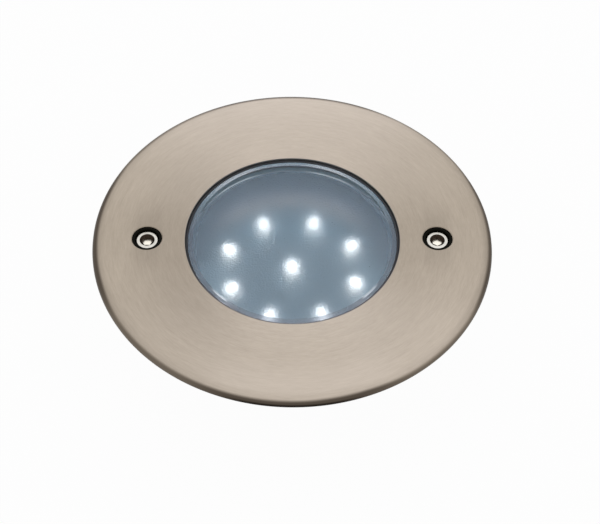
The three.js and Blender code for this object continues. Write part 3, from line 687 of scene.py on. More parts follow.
SOCKET_TURNS = {"left": math.radians(30), "right": math.radians(60)}
screws = {}
for side, direction in SIDES.items():
    head = sink_socket(copy_piece(screw, f"{side}_socket_screw"), SOCKET_TURNS[side])
    head.data.materials.clear()
    for finish in (bright_steel, socket_steel, socket_floor):
        head.data.materials.append(finish.material)
    open_mesh(head)
    give_slot(head, 1, in_socket(0.01, SOCKET_DEPTH - 0.01))
    give_slot(head, 2, in_socket(SOCKET_DEPTH - 0.01, SOCKET_DEPTH + 0.01))
    close_mesh()
    thread_copy = copy_piece(thread, "thread_copy")
    thread_copy.data.materials.append(bright_steel.material)
    only(head)
    thread_copy.select_set(True)
    bpy.ops.object.join()
    screws[side] = settle(head, (direction * SCREW_X, 0, 0))
for pattern in (screw, thread):
    bpy.data.objects.remove(pattern)
print("screws at", [round(piece.bound_box[0][0] / MM, 2) for piece in screws.values()])

for side, piece in screws.items():
    finish_piece(piece, f"{side}_screw", [f"{side}_bezel_screw"], bright_steel)

# %% [markdown]
# Under each head lie a split spring washer and a black nylon cup that lines the hole, and below them is
# the brass insert that the screw threads into. They are spun like the rest; the washer's split is cut
# by a thin box that is tilted a little, as a spring washer's ends are. The washer is drawn a hair
# thinner than the space it has, so that it touches neither the cup nor the head when the screw moves.

# %% Model the cups, washers and inserts
CUP_RADIUS = 4.8
CUP_TOP = 43.6
CUP_BORE = 3.95
CUP_FLOOR = 38.0
WASHER_RADIUS = 3.55
WASHER_BOTTOM = CUP_FLOOR + 0.02
WASHER_TOP = HEAD_BOTTOM - 0.03
INSERT_BORE = 2.1
INSERT_RADIUS = 2.8
INSERT_BOTTOM = 27.4
INSERT_TOP = 35.4

small_parts = {}
for side, direction in SIDES.items():
    cup = turn(f"{side}_nylon_cup", [
        (SHANK_HOLE_RADIUS, HOLE_FLOOR),
        (CUP_RADIUS, HOLE_FLOOR, 0.2),
        (CUP_RADIUS, CUP_TOP, 0.2),
        (CUP_BORE, CUP_TOP, 0.2),
        (CUP_BORE, CUP_FLOOR),
        (SHANK_HOLE_RADIUS, CUP_FLOOR),
    ], steps=96)
    washer = turn(f"{side}_split_washer", [
        (SHANK_HOLE_RADIUS, WASHER_BOTTOM, 0.08),
        (WASHER_RADIUS, WASHER_BOTTOM, 0.08),
        (WASHER_RADIUS, WASHER_TOP, 0.08),
        (SHANK_HOLE_RADIUS, WASHER_TOP, 0.08),
    ], steps=96)
    split = box_body("split", (-0.4, 1.5, -1.2), (0.4, 4.5, 1.2))
    settle(split, (0, 0, 38.45), (0, math.radians(20), 0))
    combine(washer, [split], "DIFFERENCE")
    insert = turn(f"{side}_brass_insert", [
        (INSERT_BORE, INSERT_BOTTOM, 0.1),
        (INSERT_RADIUS, INSERT_BOTTOM, 0.1),
        (INSERT_RADIUS, INSERT_TOP, 0.1),
        (INSERT_BORE, INSERT_TOP, 0.25),
    ], steps=64)
    small_parts[side] = [settle(piece, (direction * SCREW_X, 0, 0)) for piece in (cup, washer, insert)]
print("washers from", WASHER_BOTTOM, "to", round(WASHER_TOP, 2), "mm")

# %% [markdown]
# The nylon is the darkest thing in the picture: deep in its hole hardly any light reaches it, and a
# moulded matt grain breaks up what does. Spring steel is dull and stained by its heat treatment. The
# brass keeps the marks of the lathe as rings one above the other, so their noise follows the height
# alone.

# %% Nylon, spring steel and brass
nylon = Finish("black_nylon", color=(0.008, 0.008, 0.007), Roughness=0.6, Specular_IOR_Level=0.04)
grain = nylon.grain(2600.0, 3.0)
nylon.paint(grain, (0.0030, 0.0028, 0.0014), (0.0075, 0.0070, 0.0045))
nylon.set("Roughness", 0.45 + grain * 0.25)
nylon.ripple(grain, 0.00001, 0.3)

spring_steel = Finish("dull_spring_steel", color=(0.36, 0.35, 0.33), Metallic=1.0)
stains = spring_steel.grain(700.0, 4.0)
spring_steel.paint(stains, (0.25, 0.24, 0.23), (0.46, 0.45, 0.42))
spring_steel.set("Roughness", 0.28 + stains * 0.2)

brass = Finish("turned_brass", color=(0.62, 0.45, 0.17), Metallic=1.0)
tarnish = brass.grain(400.0, 4.0)
height = brass.split(brass.place())[2]
tool_marks = brass.noise(brass.vector(0.0, 0.0, height * 9000), 1.0, 1.0)
brass.paint(tarnish, (0.50, 0.35, 0.12), (0.72, 0.54, 0.23))
brass.set("Roughness", 0.22 + tool_marks * 0.2)
brass.ripple(tool_marks, 0.00002, 0.3)
brass.report()

for side, (cup, washer, insert) in small_parts.items():
    finish_piece(cup, "bezel", [f"{side}_screw_bush"], nylon)
    finish_piece(washer, f"{side}_washer", [f"{side}_spring_washer"], spring_steel)
    finish_piece(insert, "housing", [f"{side}_thread_insert"], brass)

# %% [markdown]
# ## The glass and its seals
# The lens is a thick disc of toughened glass. Its edge is stepped, so that the bezel clamps a thin
# flange and the rest stands up in the opening, and the top edge is ground to a narrow slope that
# catches the light. The section is spun like the others, and the kinds of surface are told apart
# afterwards by where their faces lie.

# %% Model the glass
GLASS_TOP = 43.25
GLASS_BOTTOM = 38.25
GLASS_FLANGE_TOP = 41.1
GLASS_RADIUS = 37.5
GLASS_BOSS_RADIUS = 34.0
SLOPE_RADIUS = 32.43
ETCHED_RADIUS = 31.5

glass = turn("glass_disc", [
    (0, GLASS_BOTTOM),
    (ETCHED_RADIUS, GLASS_BOTTOM),
    (GLASS_RADIUS, GLASS_BOTTOM, 0.3),
    (GLASS_RADIUS, GLASS_FLANGE_TOP, 0.2),
    (GLASS_BOSS_RADIUS, GLASS_FLANGE_TOP),
    (GLASS_BOSS_RADIUS, GLASS_TOP - 0.3, 0.1),
    (SLOPE_RADIUS, GLASS_TOP, 0.15),
    (0, GLASS_TOP),
], steps=256)
print("glass", round(glass.dimensions.z / MM, 2), "mm thick")

# %% [markdown]
# The top is polished. The middle of the underside is lightly etched, and its fine stipple softens the
# diodes to the glowing spots of the photograph. The upright edges are ground flat and look like pale
# blue frost.

# %% Clear, etched and ground glass
GLASS_TINT = (0.93, 0.97, 0.98)

clear_glass = Finish("clear_glass", color=GLASS_TINT, Roughness=0.0, IOR=1.5, Transmission_Weight=1.0)

etched_glass = Finish("etched_glass", color=GLASS_TINT, IOR=1.5, Transmission_Weight=1.0)
etching = etched_glass.grain(3600.0)
etched_glass.set("Roughness", 0.30 + etching * 0.16)
stipple = etched_glass.grain(1700.0, 1.0)
etched_glass.ripple(stipple, 0.00028, 0.6)

ground_edge = Finish("ground_edge", color=(0.42, 0.50, 0.62), IOR=1.5, Transmission_Weight=0.4)
wheel_marks = ground_edge.grain(2500.0)
ground_edge.paint(wheel_marks, (0.36, 0.44, 0.56), (0.46, 0.54, 0.66))
ground_edge.set("Roughness", 0.35 + wheel_marks * 0.2)
for finish in (clear_glass, etched_glass, ground_edge):
    finish.report()

# %% [markdown]
# The slope bends light out of the glass towards the eye, and what it sends changes round the ring. That
# light is painted into its colour: clear and bluish at the far side, with two painted glints, greyer at
# the front and dim to the left and right. At the near corners it is rougher, with painted shade and a
# thin painted highlight along its inner edge. A weak glow of its own stands for the light that reaches
# it through the glass.

# %% Ground slope, with painted light and shade
ground_slope = Finish(
    "ground_glass", color=(0.78, 0.84, 0.92), IOR=1.5, Transmission_Weight=0.75, Emission_Strength=0.16
)
frost = ground_slope.grain(900.0)
x, y = ground_slope.split(ground_slope.place())[:2]
radius = (x * x + y * y) ** 0.5
# painted light: the slope's colour changes round the ring with the light it sends
painted_light_ends = ground_slope.blend(ground_slope.fade(y, -0.016, 0.02), (0.50, 0.52, 0.58), (0.98, 0.99, 1.0))
tone = ground_slope.blend(ground_slope.fade(abs(y), 0.004, 0.026), (0.32, 0.36, 0.42), painted_light_ends)

# painted shade at the near corners
near_corners = ground_slope.fade(abs(x), 0.014, 0.021) * (1 - ground_slope.fade(y, -0.022, -0.010))
tone = ground_slope.blend(near_corners * 0.65, tone, (0.12, 0.12, 0.15))
# painted highlight: a thin bright line along the inner edge, in the colour and the glow
off_middle = abs(x - 0.0007)
painted_highlight_line = ground_slope.band(off_middle, 0.0210, 0.0226, 0.0250, 0.0270)
painted_highlight_line = painted_highlight_line * (1 - ground_slope.fade(radius, 0.0329, 0.0332)) * 0.85
painted_highlight_line = painted_highlight_line * (1 - ground_slope.fade(y, -0.015, -0.012))
ground_slope.paint(painted_highlight_line, tone, (0.95, 0.97, 1.0))
ground_slope.set("Roughness", 0.12 + frost * 0.08 + near_corners * 0.25)

# painted glints and a painted glow at the far side, in the emission
off_middle = abs(x + 0.003)
glints = ground_slope.band(off_middle, 0.006, 0.013, 0.017, 0.026) * ground_slope.fade(y, 0.010, 0.022)
painted_glow = ground_slope.blend(ground_slope.fade(y, 0.004, 0.020), (0.0, 0.0, 0.0), (0.0, 0.20, 0.32))
painted_glow = ground_slope.blend(glints, painted_glow, (0.80, 0.92, 1.0))
ground_slope.set("Emission Color", ground_slope.blend(painted_highlight_line, painted_glow, (1.0, 1.0, 1.0)))
ground_slope.report()

# %% [markdown]
# One spun body now needs four finishes. Cutting it up would leave walls inside the glass, and light
# would bend at each of them. So it stays whole, and its faces are told apart by where they lie and
# which way they look: the middle of the underside, the slope, and all that stands upright.


# %% Give the faces of the glass their finishes
def on_etched(point, normal):
    return point.z < (GLASS_BOTTOM + 0.01) * MM and math.hypot(point.x, point.y) < ETCHED_RADIUS * MM


def on_slope(point, normal):
    return point.z > (GLASS_TOP - 0.4) * MM and 0.3 < normal.z < 0.995


def on_edge(point, normal):
    return abs(normal.z) < 0.2


for finish in (clear_glass, etched_glass, ground_slope, ground_edge):
    glass.data.materials.append(finish.material)
open_mesh(glass)
for number, test in enumerate((on_etched, on_slope, on_edge), start=1):
    print(give_slot(glass, number, test), "faces, test", test.__name__)
close_mesh()
finish_piece(glass, "glass", ["lens_glass"], clear_glass)

# %% [markdown]
# A black gasket fills the gap round the glass, from its flange up to the rim of the opening. The glass
# stands on a flat silicone ring. That one hides in the shade under the flange, but its blue-grey,
# painted pale as painted light for that shade, shows in the slope, as a band that the glass bends into
# view. Both are turned rings with softened edges.

# %% Model the gasket and the seat ring
REBATE_FLOOR = 37.05
SEAL_BORE = 35.42

gasket = turn("gasket_ring", [
    (GLASS_BOSS_RADIUS + 0.05, GLASS_FLANGE_TOP),
    (GLASS_RADIUS, GLASS_FLANGE_TOP, 0.1),
    (GLASS_RADIUS, BEZEL_PLATE, 0.1),
    (OPENING_RADIUS - 0.1, BEZEL_PLATE),
    (OPENING_RADIUS - 0.1, GLASS_TOP, 0.3),
    (GLASS_BOSS_RADIUS + 0.05, GLASS_TOP, 0.3),
], steps=192)
seal = turn("seat_ring", [
    (SEAL_BORE, REBATE_FLOOR),
    (GLASS_RADIUS, REBATE_FLOOR, 0.2),
    (GLASS_RADIUS, GLASS_BOTTOM, 0.2),
    (SEAL_BORE, GLASS_BOTTOM, 0.2),
], steps=192)
print("gasket", round(GLASS_TOP - GLASS_FLANGE_TOP, 2), "mm high")

# %% [markdown]
# Rubber blooms: it goes grey in soft patches, and fine pores keep it matt. The near part of the
# gasket's top is paler: a mask by place mixes in a paler grey there. The silicone below is even, with
# only a faint cloudiness, and its pale blue-grey is painted light for the shade it lies in.

# %% Rubber and silicone
rubber = Finish("black_rubber", color=(0.03, 0.032, 0.036), Roughness=0.7, Specular_IOR_Level=0.1)
bloom = rubber.grain(350.0, 4.0)
pores = rubber.grain(4200.0)
tone = rubber.blend(bloom, (0.052, 0.052, 0.055), (0.080, 0.081, 0.086))
y, z = rubber.split(rubber.place())[1:]
# paler grey towards the front of the gasket's top
paler_near_top = (1 - rubber.fade(y, -0.033, -0.008)) * rubber.fade(z, 0.042, 0.0425)
rubber.paint(paler_near_top, tone, (0.22, 0.20, 0.21))
rubber.set("Roughness", 0.5 + bloom * 0.25)
rubber.ripple(pores, 0.00001, 0.25)

# painted light: the seat ring is painted paler than it is, for the deep shade under the flange
silicone = Finish("grey_silicone", color=(0.12, 0.15, 0.18), Roughness=0.5)
dust = silicone.grain(500.0, 3.0)
silicone.paint(dust, (0.28, 0.35, 0.48), (0.37, 0.45, 0.60))
silicone.ripple(dust, 0.00003, 0.3)

finish_piece(gasket, "glass", ["lens_gasket"], rubber)
finish_piece(seal, "housing", ["seat_seal"], silicone)

# %% [markdown]
# ## The dish and the diodes
# Below the glass is a shallow dish of satin blue-grey plastic. Nine five-millimetre diodes stand up
# through holes in its floor, one in the middle and eight round it, and three small feet carry it on the
# board. The ring of diodes is turned by some degrees, as the photograph shows.

# %% Model the dish
DIODE_RING = 21.6
DIODE_TURN = math.radians(25.6)
DISH_FLOOR = 22.4
DISH_UNDERSIDE = 21.2
FOOT_RING = 29.0
BOARD_TOP = 20.0
BOARD_LEDGE = 18.4
LIP_SEAT = 36.15
LIP_TOP = 36.95
DISH_BORE = 33.5

diode_places = [((0, 0, 0), DIODE_TURN)]
for i in range(8):
    angle = DIODE_TURN + math.tau * i / 8
    diode_places.append((on_circle(DIODE_RING, angle), angle))

dish = turn("reflector_dish", [
    (0, DISH_UNDERSIDE),
    (34.3, DISH_UNDERSIDE, 2.0),
    (34.3, LIP_SEAT),
    (35.3, LIP_SEAT, 0.1),
    (35.3, LIP_TOP, 0.05),
    (DISH_BORE, LIP_TOP, 0.3),
    (DISH_BORE, DISH_FLOOR, 2.0),
    (0, DISH_FLOOR),
], steps=192)
feet = []
for i in range(3):
    angle = math.pi / 2 + math.tau * i / 3
    foot = turn("foot", [(0, BOARD_TOP), (1.5, BOARD_TOP, 0.15), (1.5, 21.8), (0, 21.8)], steps=32)
    feet.append(settle(foot, on_circle(FOOT_RING, angle)))
combine(dish, feet, "UNION")
holes = []
for place, angle in diode_places:
    hole = turn("hole", [
        (0, 18), (2.7, 18), (2.7, 22.25), (2.85, DISH_FLOOR), (2.85, 24), (0, 24)
    ], steps=48)
    holes.append(settle(hole, place))
combine(dish, holes, "DIFFERENCE")
print("dish with", len(holes), "holes on", len(feet), "feet")

# %% [markdown]
# The dish looks darker near its wall and paler in the middle, where the diodes light it. They do most
# of that themselves, and the rest is painted light, put in by place: a floor that turns bluer at the
# far side and paler at the near corners, a wall that is pale low down, and a painted highlight along
# the warm fold where the two meet.

# %% Satin plastic
satin = Finish("satin_reflector", color=(0.2, 0.24, 0.29), Roughness=0.5, Specular_IOR_Level=0.12)
x, y, z = satin.split(satin.place())
radius = (x * x + y * y) ** 0.5
mottle = satin.grain(260.0, 3.0)
fine = satin.grain(3800.0)

floor_tone = satin.blend(mottle, (0.163, 0.258, 0.328), (0.196, 0.302, 0.382))
# painted light on the floor: bluer at the far side and paler at the near corners
floor_tone = satin.blend(satin.fade(y, 0.004, 0.030), floor_tone, (0.215, 0.360, 0.472))
near_sides_light = satin.fade(abs(x), 0.018, 0.027) * (1 - satin.fade(y, -0.001, 0.007))
floor_tone = satin.blend(near_sides_light, floor_tone, (0.28, 0.42, 0.51))
wall_tone = satin.blend(mottle, (0.17, 0.25, 0.33), (0.20, 0.285, 0.37))
# painted light low on the far part of the wall
low_wall_light = (1 - satin.fade(z, 0.0235, 0.0300)) * satin.fade(y, 0.012, 0.030)
wall_tone = satin.blend(low_wall_light, wall_tone, (0.32, 0.39, 0.49))
tone = satin.blend(satin.fade(radius, 0.0305, 0.0325), floor_tone, wall_tone)
# painted highlight along the fold between floor and wall
fold_highlight = satin.band(radius, 0.0292, 0.0302, 0.0318, 0.0328) * satin.fade(y, 0.015, 0.028)
tone = satin.blend(fold_highlight, tone, (0.82, 0.75, 0.72))
satin.report()

# %% [markdown]
# The dish's upper edge is seen through the slope of the glass. Its flat lip is blue, and its inner edge
# is a thin painted highlight that flashes at two places on the far side, below the painted glints of
# the slope.

# %% Lip and edge of the dish
lip = satin.fade(radius, 0.0337, 0.0339) * satin.fade(z, 0.0366, 0.0368)
tone = satin.blend(lip, tone, (0.25, 0.37, 0.46))
# painted highlight: the pale inner edge, with two painted flashes on the far side
off_middle = abs(x + 0.003)
flash = satin.band(off_middle, 0.006, 0.013, 0.018, 0.026) * satin.fade(y, 0.012, 0.022)
edge_tone = satin.blend(flash, (0.30, 0.38, 0.46), (0.90, 0.95, 1.0))
inner_edge_highlight = satin.fade(z, 0.0364, 0.0367) * (1 - lip)
satin.paint(inner_edge_highlight, tone, edge_tone)
satin.set("Roughness", 0.42 + fine * 0.18)
satin.ripple(fine, 0.00002, 0.3)
finish_piece(dish, "housing", ["reflector_tray"], satin)

# %% [markdown]
# Each diode is a bullet of clear epoxy on a small collar, with two flat pins. The bullet is spun, with
# one large rounding for its dome, and two small boxes are joined to it for the pins. When the diode is
# lit, the eye sees only the bright cup inside it, so a glowing bead stands for that.

# %% Model the diodes
PIN_SPACING = 2.54
BEAD_RADIUS = 1.5
BEAD_HEIGHT = 25.8

diode = turn("diode", [
    (0, BOARD_TOP),
    (2.9, BOARD_TOP, 0.1),
    (2.9, 21.0, 0.1),
    (2.5, 21.0),
    (2.5, 28.6, 2.45),
    (0, 28.6),
], steps=48)
pins = []
for place in (-PIN_SPACING / 2, PIN_SPACING / 2):
    pins.append(box_body("pin", (place - 0.25, -0.25, 16.8), (place + 0.25, 0.25, 20.5)))
combine(diode, pins, "UNION")

bpy.ops.object.select_all(action="DESELECT")
bpy.ops.mesh.primitive_uv_sphere_add(segments=32, ring_count=16, radius=BEAD_RADIUS * MM)
bead = settle(bpy.context.active_object, (0, 0, BEAD_HEIGHT))
print("diode", round(diode.dimensions.z / MM, 2), "mm high with its pins")

# %% [markdown]
# The epoxy is nearly clear. Real refraction in nine small domes under a thick glass would take long to
# render and would hide the beads, so it is a thin see-through shell with a cloudy gloss. The phosphor
# gives its own light, a slightly bluish white whose grains differ a little.

# %% Clear epoxy and lit phosphor
clear_epoxy = Finish("clear_epoxy", color=(0.62, 0.72, 0.82), IOR=1.5, Alpha=0.2)
cloudy = clear_epoxy.grain(1500.0)
clear_epoxy.set("Roughness", 0.08 + cloudy * 0.1)

lit_phosphor = Finish("lit_phosphor", color=(0.9, 0.9, 0.8), Roughness=0.6, Emission_Strength=5.6)
grit = lit_phosphor.grain(3000.0)
lit_phosphor.set("Emission Color", lit_phosphor.blend(grit, (0.88, 0.90, 0.96), (1.0, 1.0, 1.0)))
for finish in (clear_epoxy, lit_phosphor):
    finish.report()

# %% [markdown]
# The spots of the ring are a little long in the photograph, and not quite where a true ring would put
# them, because diodes that are soldered by hand never stand quite alike. So the beads are drawn out
# along the radius, and each is shifted, raised or lowered a little inside its clear body, which stays
# on the ring.

# %% Set out the diodes
BEAD_SHIFT = 0.48
BEAD_RISE = {0: 0.4, 2: -1.35, 3: -1.0, 4: 0.5, 5: 0.8, 8: 0.8}

diode.data.materials.clear()
diode.data.materials.append(clear_epoxy.material)
bead.data.materials.append(lit_phosphor.material)
for i, (place, angle) in enumerate(diode_places):
    piece = settle(copy_piece(diode, f"diode_{i}"), place, (0, 0, angle))
    lit = copy_piece(bead, "lit_bead")
    lit.scale = (1.28, 0.74, 1.0) if i else (1.08, 1.08, 1.0)
    shift = on_circle(BEAD_SHIFT if i else 0, -angle)
    settle(lit, (place[0] + shift[0], place[1] + shift[1], BEAD_RISE.get(i, 0)), (0, 0, angle))
    only(piece)
    lit.select_set(True)
    bpy.ops.object.join()
    solid = f"ring_led_{i}" if i else "centre_led"
    finish_piece(piece, "housing", [solid], clear_epoxy)
for pattern in (diode, bead):
    bpy.data.objects.remove(pattern)

# %% [markdown]
# ## The housing
# The housing is an aluminium die casting: a cup with a narrower cup below it, and a wide flange at its
# rim. Ten tapered ribs carry the flange, and two lugs take the screws. One closed section gives the
# outside and the inside together, so the walls keep their thickness wherever the cup steps in.

# %% Spin the cup
LOWER_RADIUS = 35.2
UPPER_RADIUS = 38.0
NECK_RADIUS = 41.3
FLANGE_RADIUS = 56.0
FLANGE_TOP = 42.0
FLANGE_BOTTOM = 38.0
REBATE_RADIUS = 38.1
CHAMBER_RADIUS = 32.4
FLOOR_TOP = 2.2

housing = turn("cast_housing", [
    (0, 0),
    (LOWER_RADIUS, 0, 1.4),
    (LOWER_RADIUS, 15.4, 1.0),
    (UPPER_RADIUS, 18.4, 1.0),
    (UPPER_RADIUS, 31.9, 1.0),
    (NECK_RADIUS, 35.2, 1.0),
    (NECK_RADIUS, FLANGE_BOTTOM, 1.0),
    (FLANGE_RADIUS, FLANGE_BOTTOM, 0.8),
    (FLANGE_RADIUS, FLANGE_TOP, 0.2),
    (REBATE_RADIUS, FLANGE_TOP, 0.3),
    (REBATE_RADIUS, REBATE_FLOOR, 0.2),
    (35.4, REBATE_FLOOR),
    (35.4, LIP_SEAT),
    (34.6, LIP_SEAT),
    (34.6, BOARD_LEDGE),
    (CHAMBER_RADIUS, BOARD_LEDGE, 0.3),
    (CHAMBER_RADIUS, FLOOR_TOP, 1.0),
    (0, FLOOR_TOP),
], steps=192)
print("housing across", round(housing.dimensions.x / MM, 2), "mm")

# %% [markdown]
# A rib is not round, so its outline is drawn as a wire too, but then filled and pulled out to its
# thickness. It is copied to ten of twelve even steps round the cup, and the two steps that are left
# belong to the screw lugs. Ribs, lugs, the standoffs of the lower board and the boss for the cable
# gland are then joined to the cup.


# %% Make the ribs, lugs, standoffs and gland boss
def along_gland(piece):
    """From the upright axis to the gland's, which points out along Y."""
    return settle(piece, (0, GLAND_FACE_Y, GLAND_AXIS_Z), (-math.pi / 2, 0, 0))


GLAND_AXIS_Z = 11.3
GLAND_FACE_Y = 40.0
RIB_BOTTOM = 23.0
RIB_THICKNESS = 2.0
RIB_STEPS = 12
LUG_RADIUS = 8.3
LUG_TOP = 41.5
STANDOFF_RING = 21.0

added = []
rib = draw_wire("rib", [
    (36.4, RIB_BOTTOM), (39.0, RIB_BOTTOM, 1.0), (53.0, FLANGE_BOTTOM), (53.0, 40.0), (36.4, 40.0)
])
bpy.ops.mesh.select_all(action="SELECT")
bpy.ops.mesh.edge_face_add()
bpy.ops.mesh.extrude_region_move(TRANSFORM_OT_translate={"value": mm(0, RIB_THICKNESS, 0)})
bpy.ops.mesh.select_all(action="SELECT")
bpy.ops.transform.translate(value=mm(0, -RIB_THICKNESS / 2, 0))
bpy.ops.mesh.normals_make_consistent(inside=False)
close_mesh()
for step in range(RIB_STEPS):
    if step % (RIB_STEPS // 2):
        added.append(settle(copy_piece(rib, "rib_copy"), turned=(0, 0, math.tau * step / RIB_STEPS)))
bpy.data.objects.remove(rib)
for direction in SIDES.values():
    web = box_body("web", (34.8, -LUG_RADIUS, RIB_BOTTOM), (SCREW_X, LUG_RADIUS, LUG_TOP))
    nose = turn("nose", [
        (0, RIB_BOTTOM), (LUG_RADIUS, RIB_BOTTOM, 0.6), (LUG_RADIUS, LUG_TOP), (0, LUG_TOP)
    ], steps=96)
    combine(web, [settle(nose, (SCREW_X, 0, 0))], "UNION")
    added.append(settle(web, turned=(0, 0, 0 if direction > 0 else math.pi)))
standoff_places = [on_circle(STANDOFF_RING, math.radians(30) + math.tau * i / 3) for i in range(3)]
for place in standoff_places:
    standoff = turn("standoff", [(0, 1.1), (2.6, 1.1), (2.6, 6.0, 0.3), (0, 6.0)], steps=48)
    added.append(settle(standoff, place))
boss = turn("gland_boss", [(0, -7.0), (9.5, -7.0), (9.5, 0, 0.5), (0, 0)], steps=96)
added.append(along_gland(boss))
combine(housing, added, "UNION")
print("housing with", len(added), "ribs, lugs and bosses")

# %% [markdown]
# The pockets and bores are cut last, as the machinist would do after casting. Each lug gets a pocket
# that the bezel's boss drops into, with the hole for the insert at its bottom, each standoff a pilot
# hole, and the gland boss its bore.

# %% Cut the pockets and bores
cuts = []
for direction in SIDES.values():
    pocket = turn("pocket", [
        (0, 27.1),
        (2.9, 27.1),
        (2.9, 35.4),
        (6.5, 35.4),
        (6.5, FLANGE_TOP - 0.3),
        (6.8, FLANGE_TOP),
        (6.8, 44),
        (0, 44),
    ], steps=96)
    cuts.append(settle(pocket, (direction * SCREW_X, 0, 0)))
for place in standoff_places:
    cuts.append(settle(turn("pilot", [(0, 2.9), (1.45, 2.9), (1.45, 7), (0, 7)], steps=32), place))
inner_bore = turn("bore", [(0, -9.0), (6.0, -9.0), (6.0, 2), (0, 2)], steps=96)
cuts.append(along_gland(inner_bore))
combine(housing, cuts, "DIFFERENCE")
print("housing with", len(cuts), "pockets and bores")

# %% [markdown]
# The casting wears a thin black powder coat with a fine, even texture, and machined faces are coated
# too. A soft haze makes it a little paler and rougher in patches.

# %% Black powder coat
powder_coat = Finish(
    "black_powder_coat", color=(0.02, 0.021, 0.023), Roughness=0.5, Specular_IOR_Level=0.45
)
orange_peel = powder_coat.grain(1900.0, 3.0, 0.6)
haze = powder_coat.grain(55.0, 3.0)
powder_coat.paint(haze, (0.016, 0.0165, 0.018), (0.032, 0.033, 0.036))
powder_coat.set("Roughness", 0.42 + haze * 0.14 + orange_peel * 0.12)
powder_coat.ripple(orange_peel, 0.00012, 0.55)
finish_piece(housing, "housing", ["housing"], powder_coat, 30)

# %% [markdown]
# ## The cable gland
# A twelve-millimetre nylon gland leads the cable in. Its body is a hexagon with a threaded neck, a
# rubber sleeve grips the cable, and a domed nut squeezes the sleeve. Hexagon and dome are made as on
# the lathe: a round blank with broken edges, and then only what lies inside the hexagonal bar is kept.

# %% Model the gland
GLAND_ACROSS_FLATS = 15.0
GLAND_CORNER = 8.66
GLAND_BROKEN = 8.1

gland_body = turn("gland_hexagon", [
    (0, -8.0),
    (5.9, -8.0, 0.4),
    (5.9, 1.2),
    (GLAND_BROKEN, 1.2),
    (GLAND_CORNER, 1.75),
    (GLAND_CORNER, 5.65),
    (GLAND_BROKEN, 6.2),
    (5.6, 6.2),
    (5.6, 11.2, 0.4),
    (0, 11.2),
], steps=96)
combine(gland_body, [bar("flats", GLAND_ACROSS_FLATS, -9, 13)], "INTERSECT")
gland_bore = turn("gland_bore", [
    (0, -10), (3.65, -10), (3.65, 4.2), (4.6, 4.2), (4.6, 13), (0, 13)
], steps=64)
combine(gland_body, [gland_bore], "DIFFERENCE")

gland_nut = turn("gland_cap", [
    (0, 6.5),
    (GLAND_BROKEN, 6.5),
    (GLAND_CORNER, 7.05),
    (GLAND_CORNER, 11.5, 0.8),
    (7.4, 13.5, 1.2),
    (5.0, 15.5, 0.5),
    (0, 15.5),
], steps=96)
combine(gland_nut, [bar("flats", GLAND_ACROSS_FLATS, 5, 17)], "INTERSECT")
nut_bore = turn("nut_bore", [
    (0, 5), (5.7, 5), (5.7, 12.5), (3.65, 12.5), (3.65, 15.2), (3.95, 15.5), (3.95, 17), (0, 17)
], steps=64)
combine(gland_nut, [nut_bore], "DIFFERENCE")

sealing_ring = turn("gland_ring", [(6.0, 0), (7.5, 0, 0.55), (7.5, 1.2, 0.55), (6.0, 1.2)], steps=96)
sleeve = turn("gland_sleeve", [
    (3.25, 4.2, 0.2), (4.5, 4.2, 0.2), (4.5, 12.2, 0.2), (3.25, 12.2, 0.4)
], steps=64)
for piece in (gland_body, gland_nut, sealing_ring, sleeve):
    along_gland(piece)
finish_piece(gland_body, "housing", ["gland_body"], nylon, 30)
finish_piece(gland_nut, "housing", ["gland_nut"], nylon, 30)
finish_piece(sealing_ring, "housing", ["gland_sealing_ring"], rubber)
finish_piece(sleeve, "housing", ["gland_seal"], rubber)

# %% [markdown]
# ## The boards
# The laminate of the two circuit boards is green, with a woven glass cloth that shows faintly. The
# parts are moulded or pressed, and differ only in their colours and grain, so one function makes all
# their finishes. The choke is wound with enamelled copper, whose turns show as a wave along its height.

# %% Finishes of the boards and parts
laminate = Finish("green_laminate", color=(0.02, 0.1, 0.05), Roughness=0.4)
x, y = laminate.split(laminate.place())[:2]
weave = (x * 9000).sine() * (y * 9000).sine()
patches = laminate.grain(120.0, 3.0)
green = patches * 0.6 + weave * 0.15
laminate.paint(green, (0.012, 0.075, 0.035), (0.035, 0.15, 0.075))
laminate.set("Roughness", 0.35 + patches * 0.2)
laminate.ripple(weave, 0.00001, 0.3)


def speckled(name, low, high, scale, roughness, depth=0.00003, **constants):
    """A finish that varies between two colours, with a fine bump at the same scale."""
    finish = Finish(name, color=low, **constants)
    spots = finish.grain(scale, 4.0, 0.6)
    finish.paint(spots, low, high)
    finish.set("Roughness", roughness + spots * 0.15)
    finish.ripple(spots, depth, 0.5)
    return finish


moulded_green = speckled("green_moulding", (0.02, 0.13, 0.045), (0.035, 0.19, 0.07), 1800.0, 0.4)
ferrite = speckled("ferrite_ceramic", (0.025, 0.025, 0.028), (0.06, 0.06, 0.066), 2600.0, 0.6)
epoxy = speckled("black_epoxy", (0.008, 0.008, 0.009), (0.02, 0.02, 0.022), 3000.0, 0.5)
sleeve_blue = speckled("can_sleeve", (0.012, 0.025, 0.06), (0.02, 0.04, 0.09), 300.0, 0.25)
red_pvc = speckled("red_pvc", (0.33, 0.012, 0.01), (0.42, 0.025, 0.02), 900.0, 0.35)
black_pvc = speckled("black_pvc", (0.008, 0.008, 0.009), (0.016, 0.016, 0.018), 900.0, 0.35)

copper = Finish("copper_winding", color=(0.5, 0.2, 0.07), Metallic=1.0, Coat_Weight=0.4)
turns = (copper.split(copper.place())[2] * 12000).sine()
copper.paint(turns * 0.5 + 0.5, (0.30, 0.10, 0.035), (0.62, 0.27, 0.10))
copper.set("Roughness", 0.3 + turns * 0.08)
copper.ripple(turns, 0.0001, 0.8)
for finish in (laminate, copper):
    finish.report()

# %% [markdown]
# The boards, the parts on the lower one and their leads are hidden while the light is closed, and their
# solids already have the right forms. So they keep them, and only get their finishes.

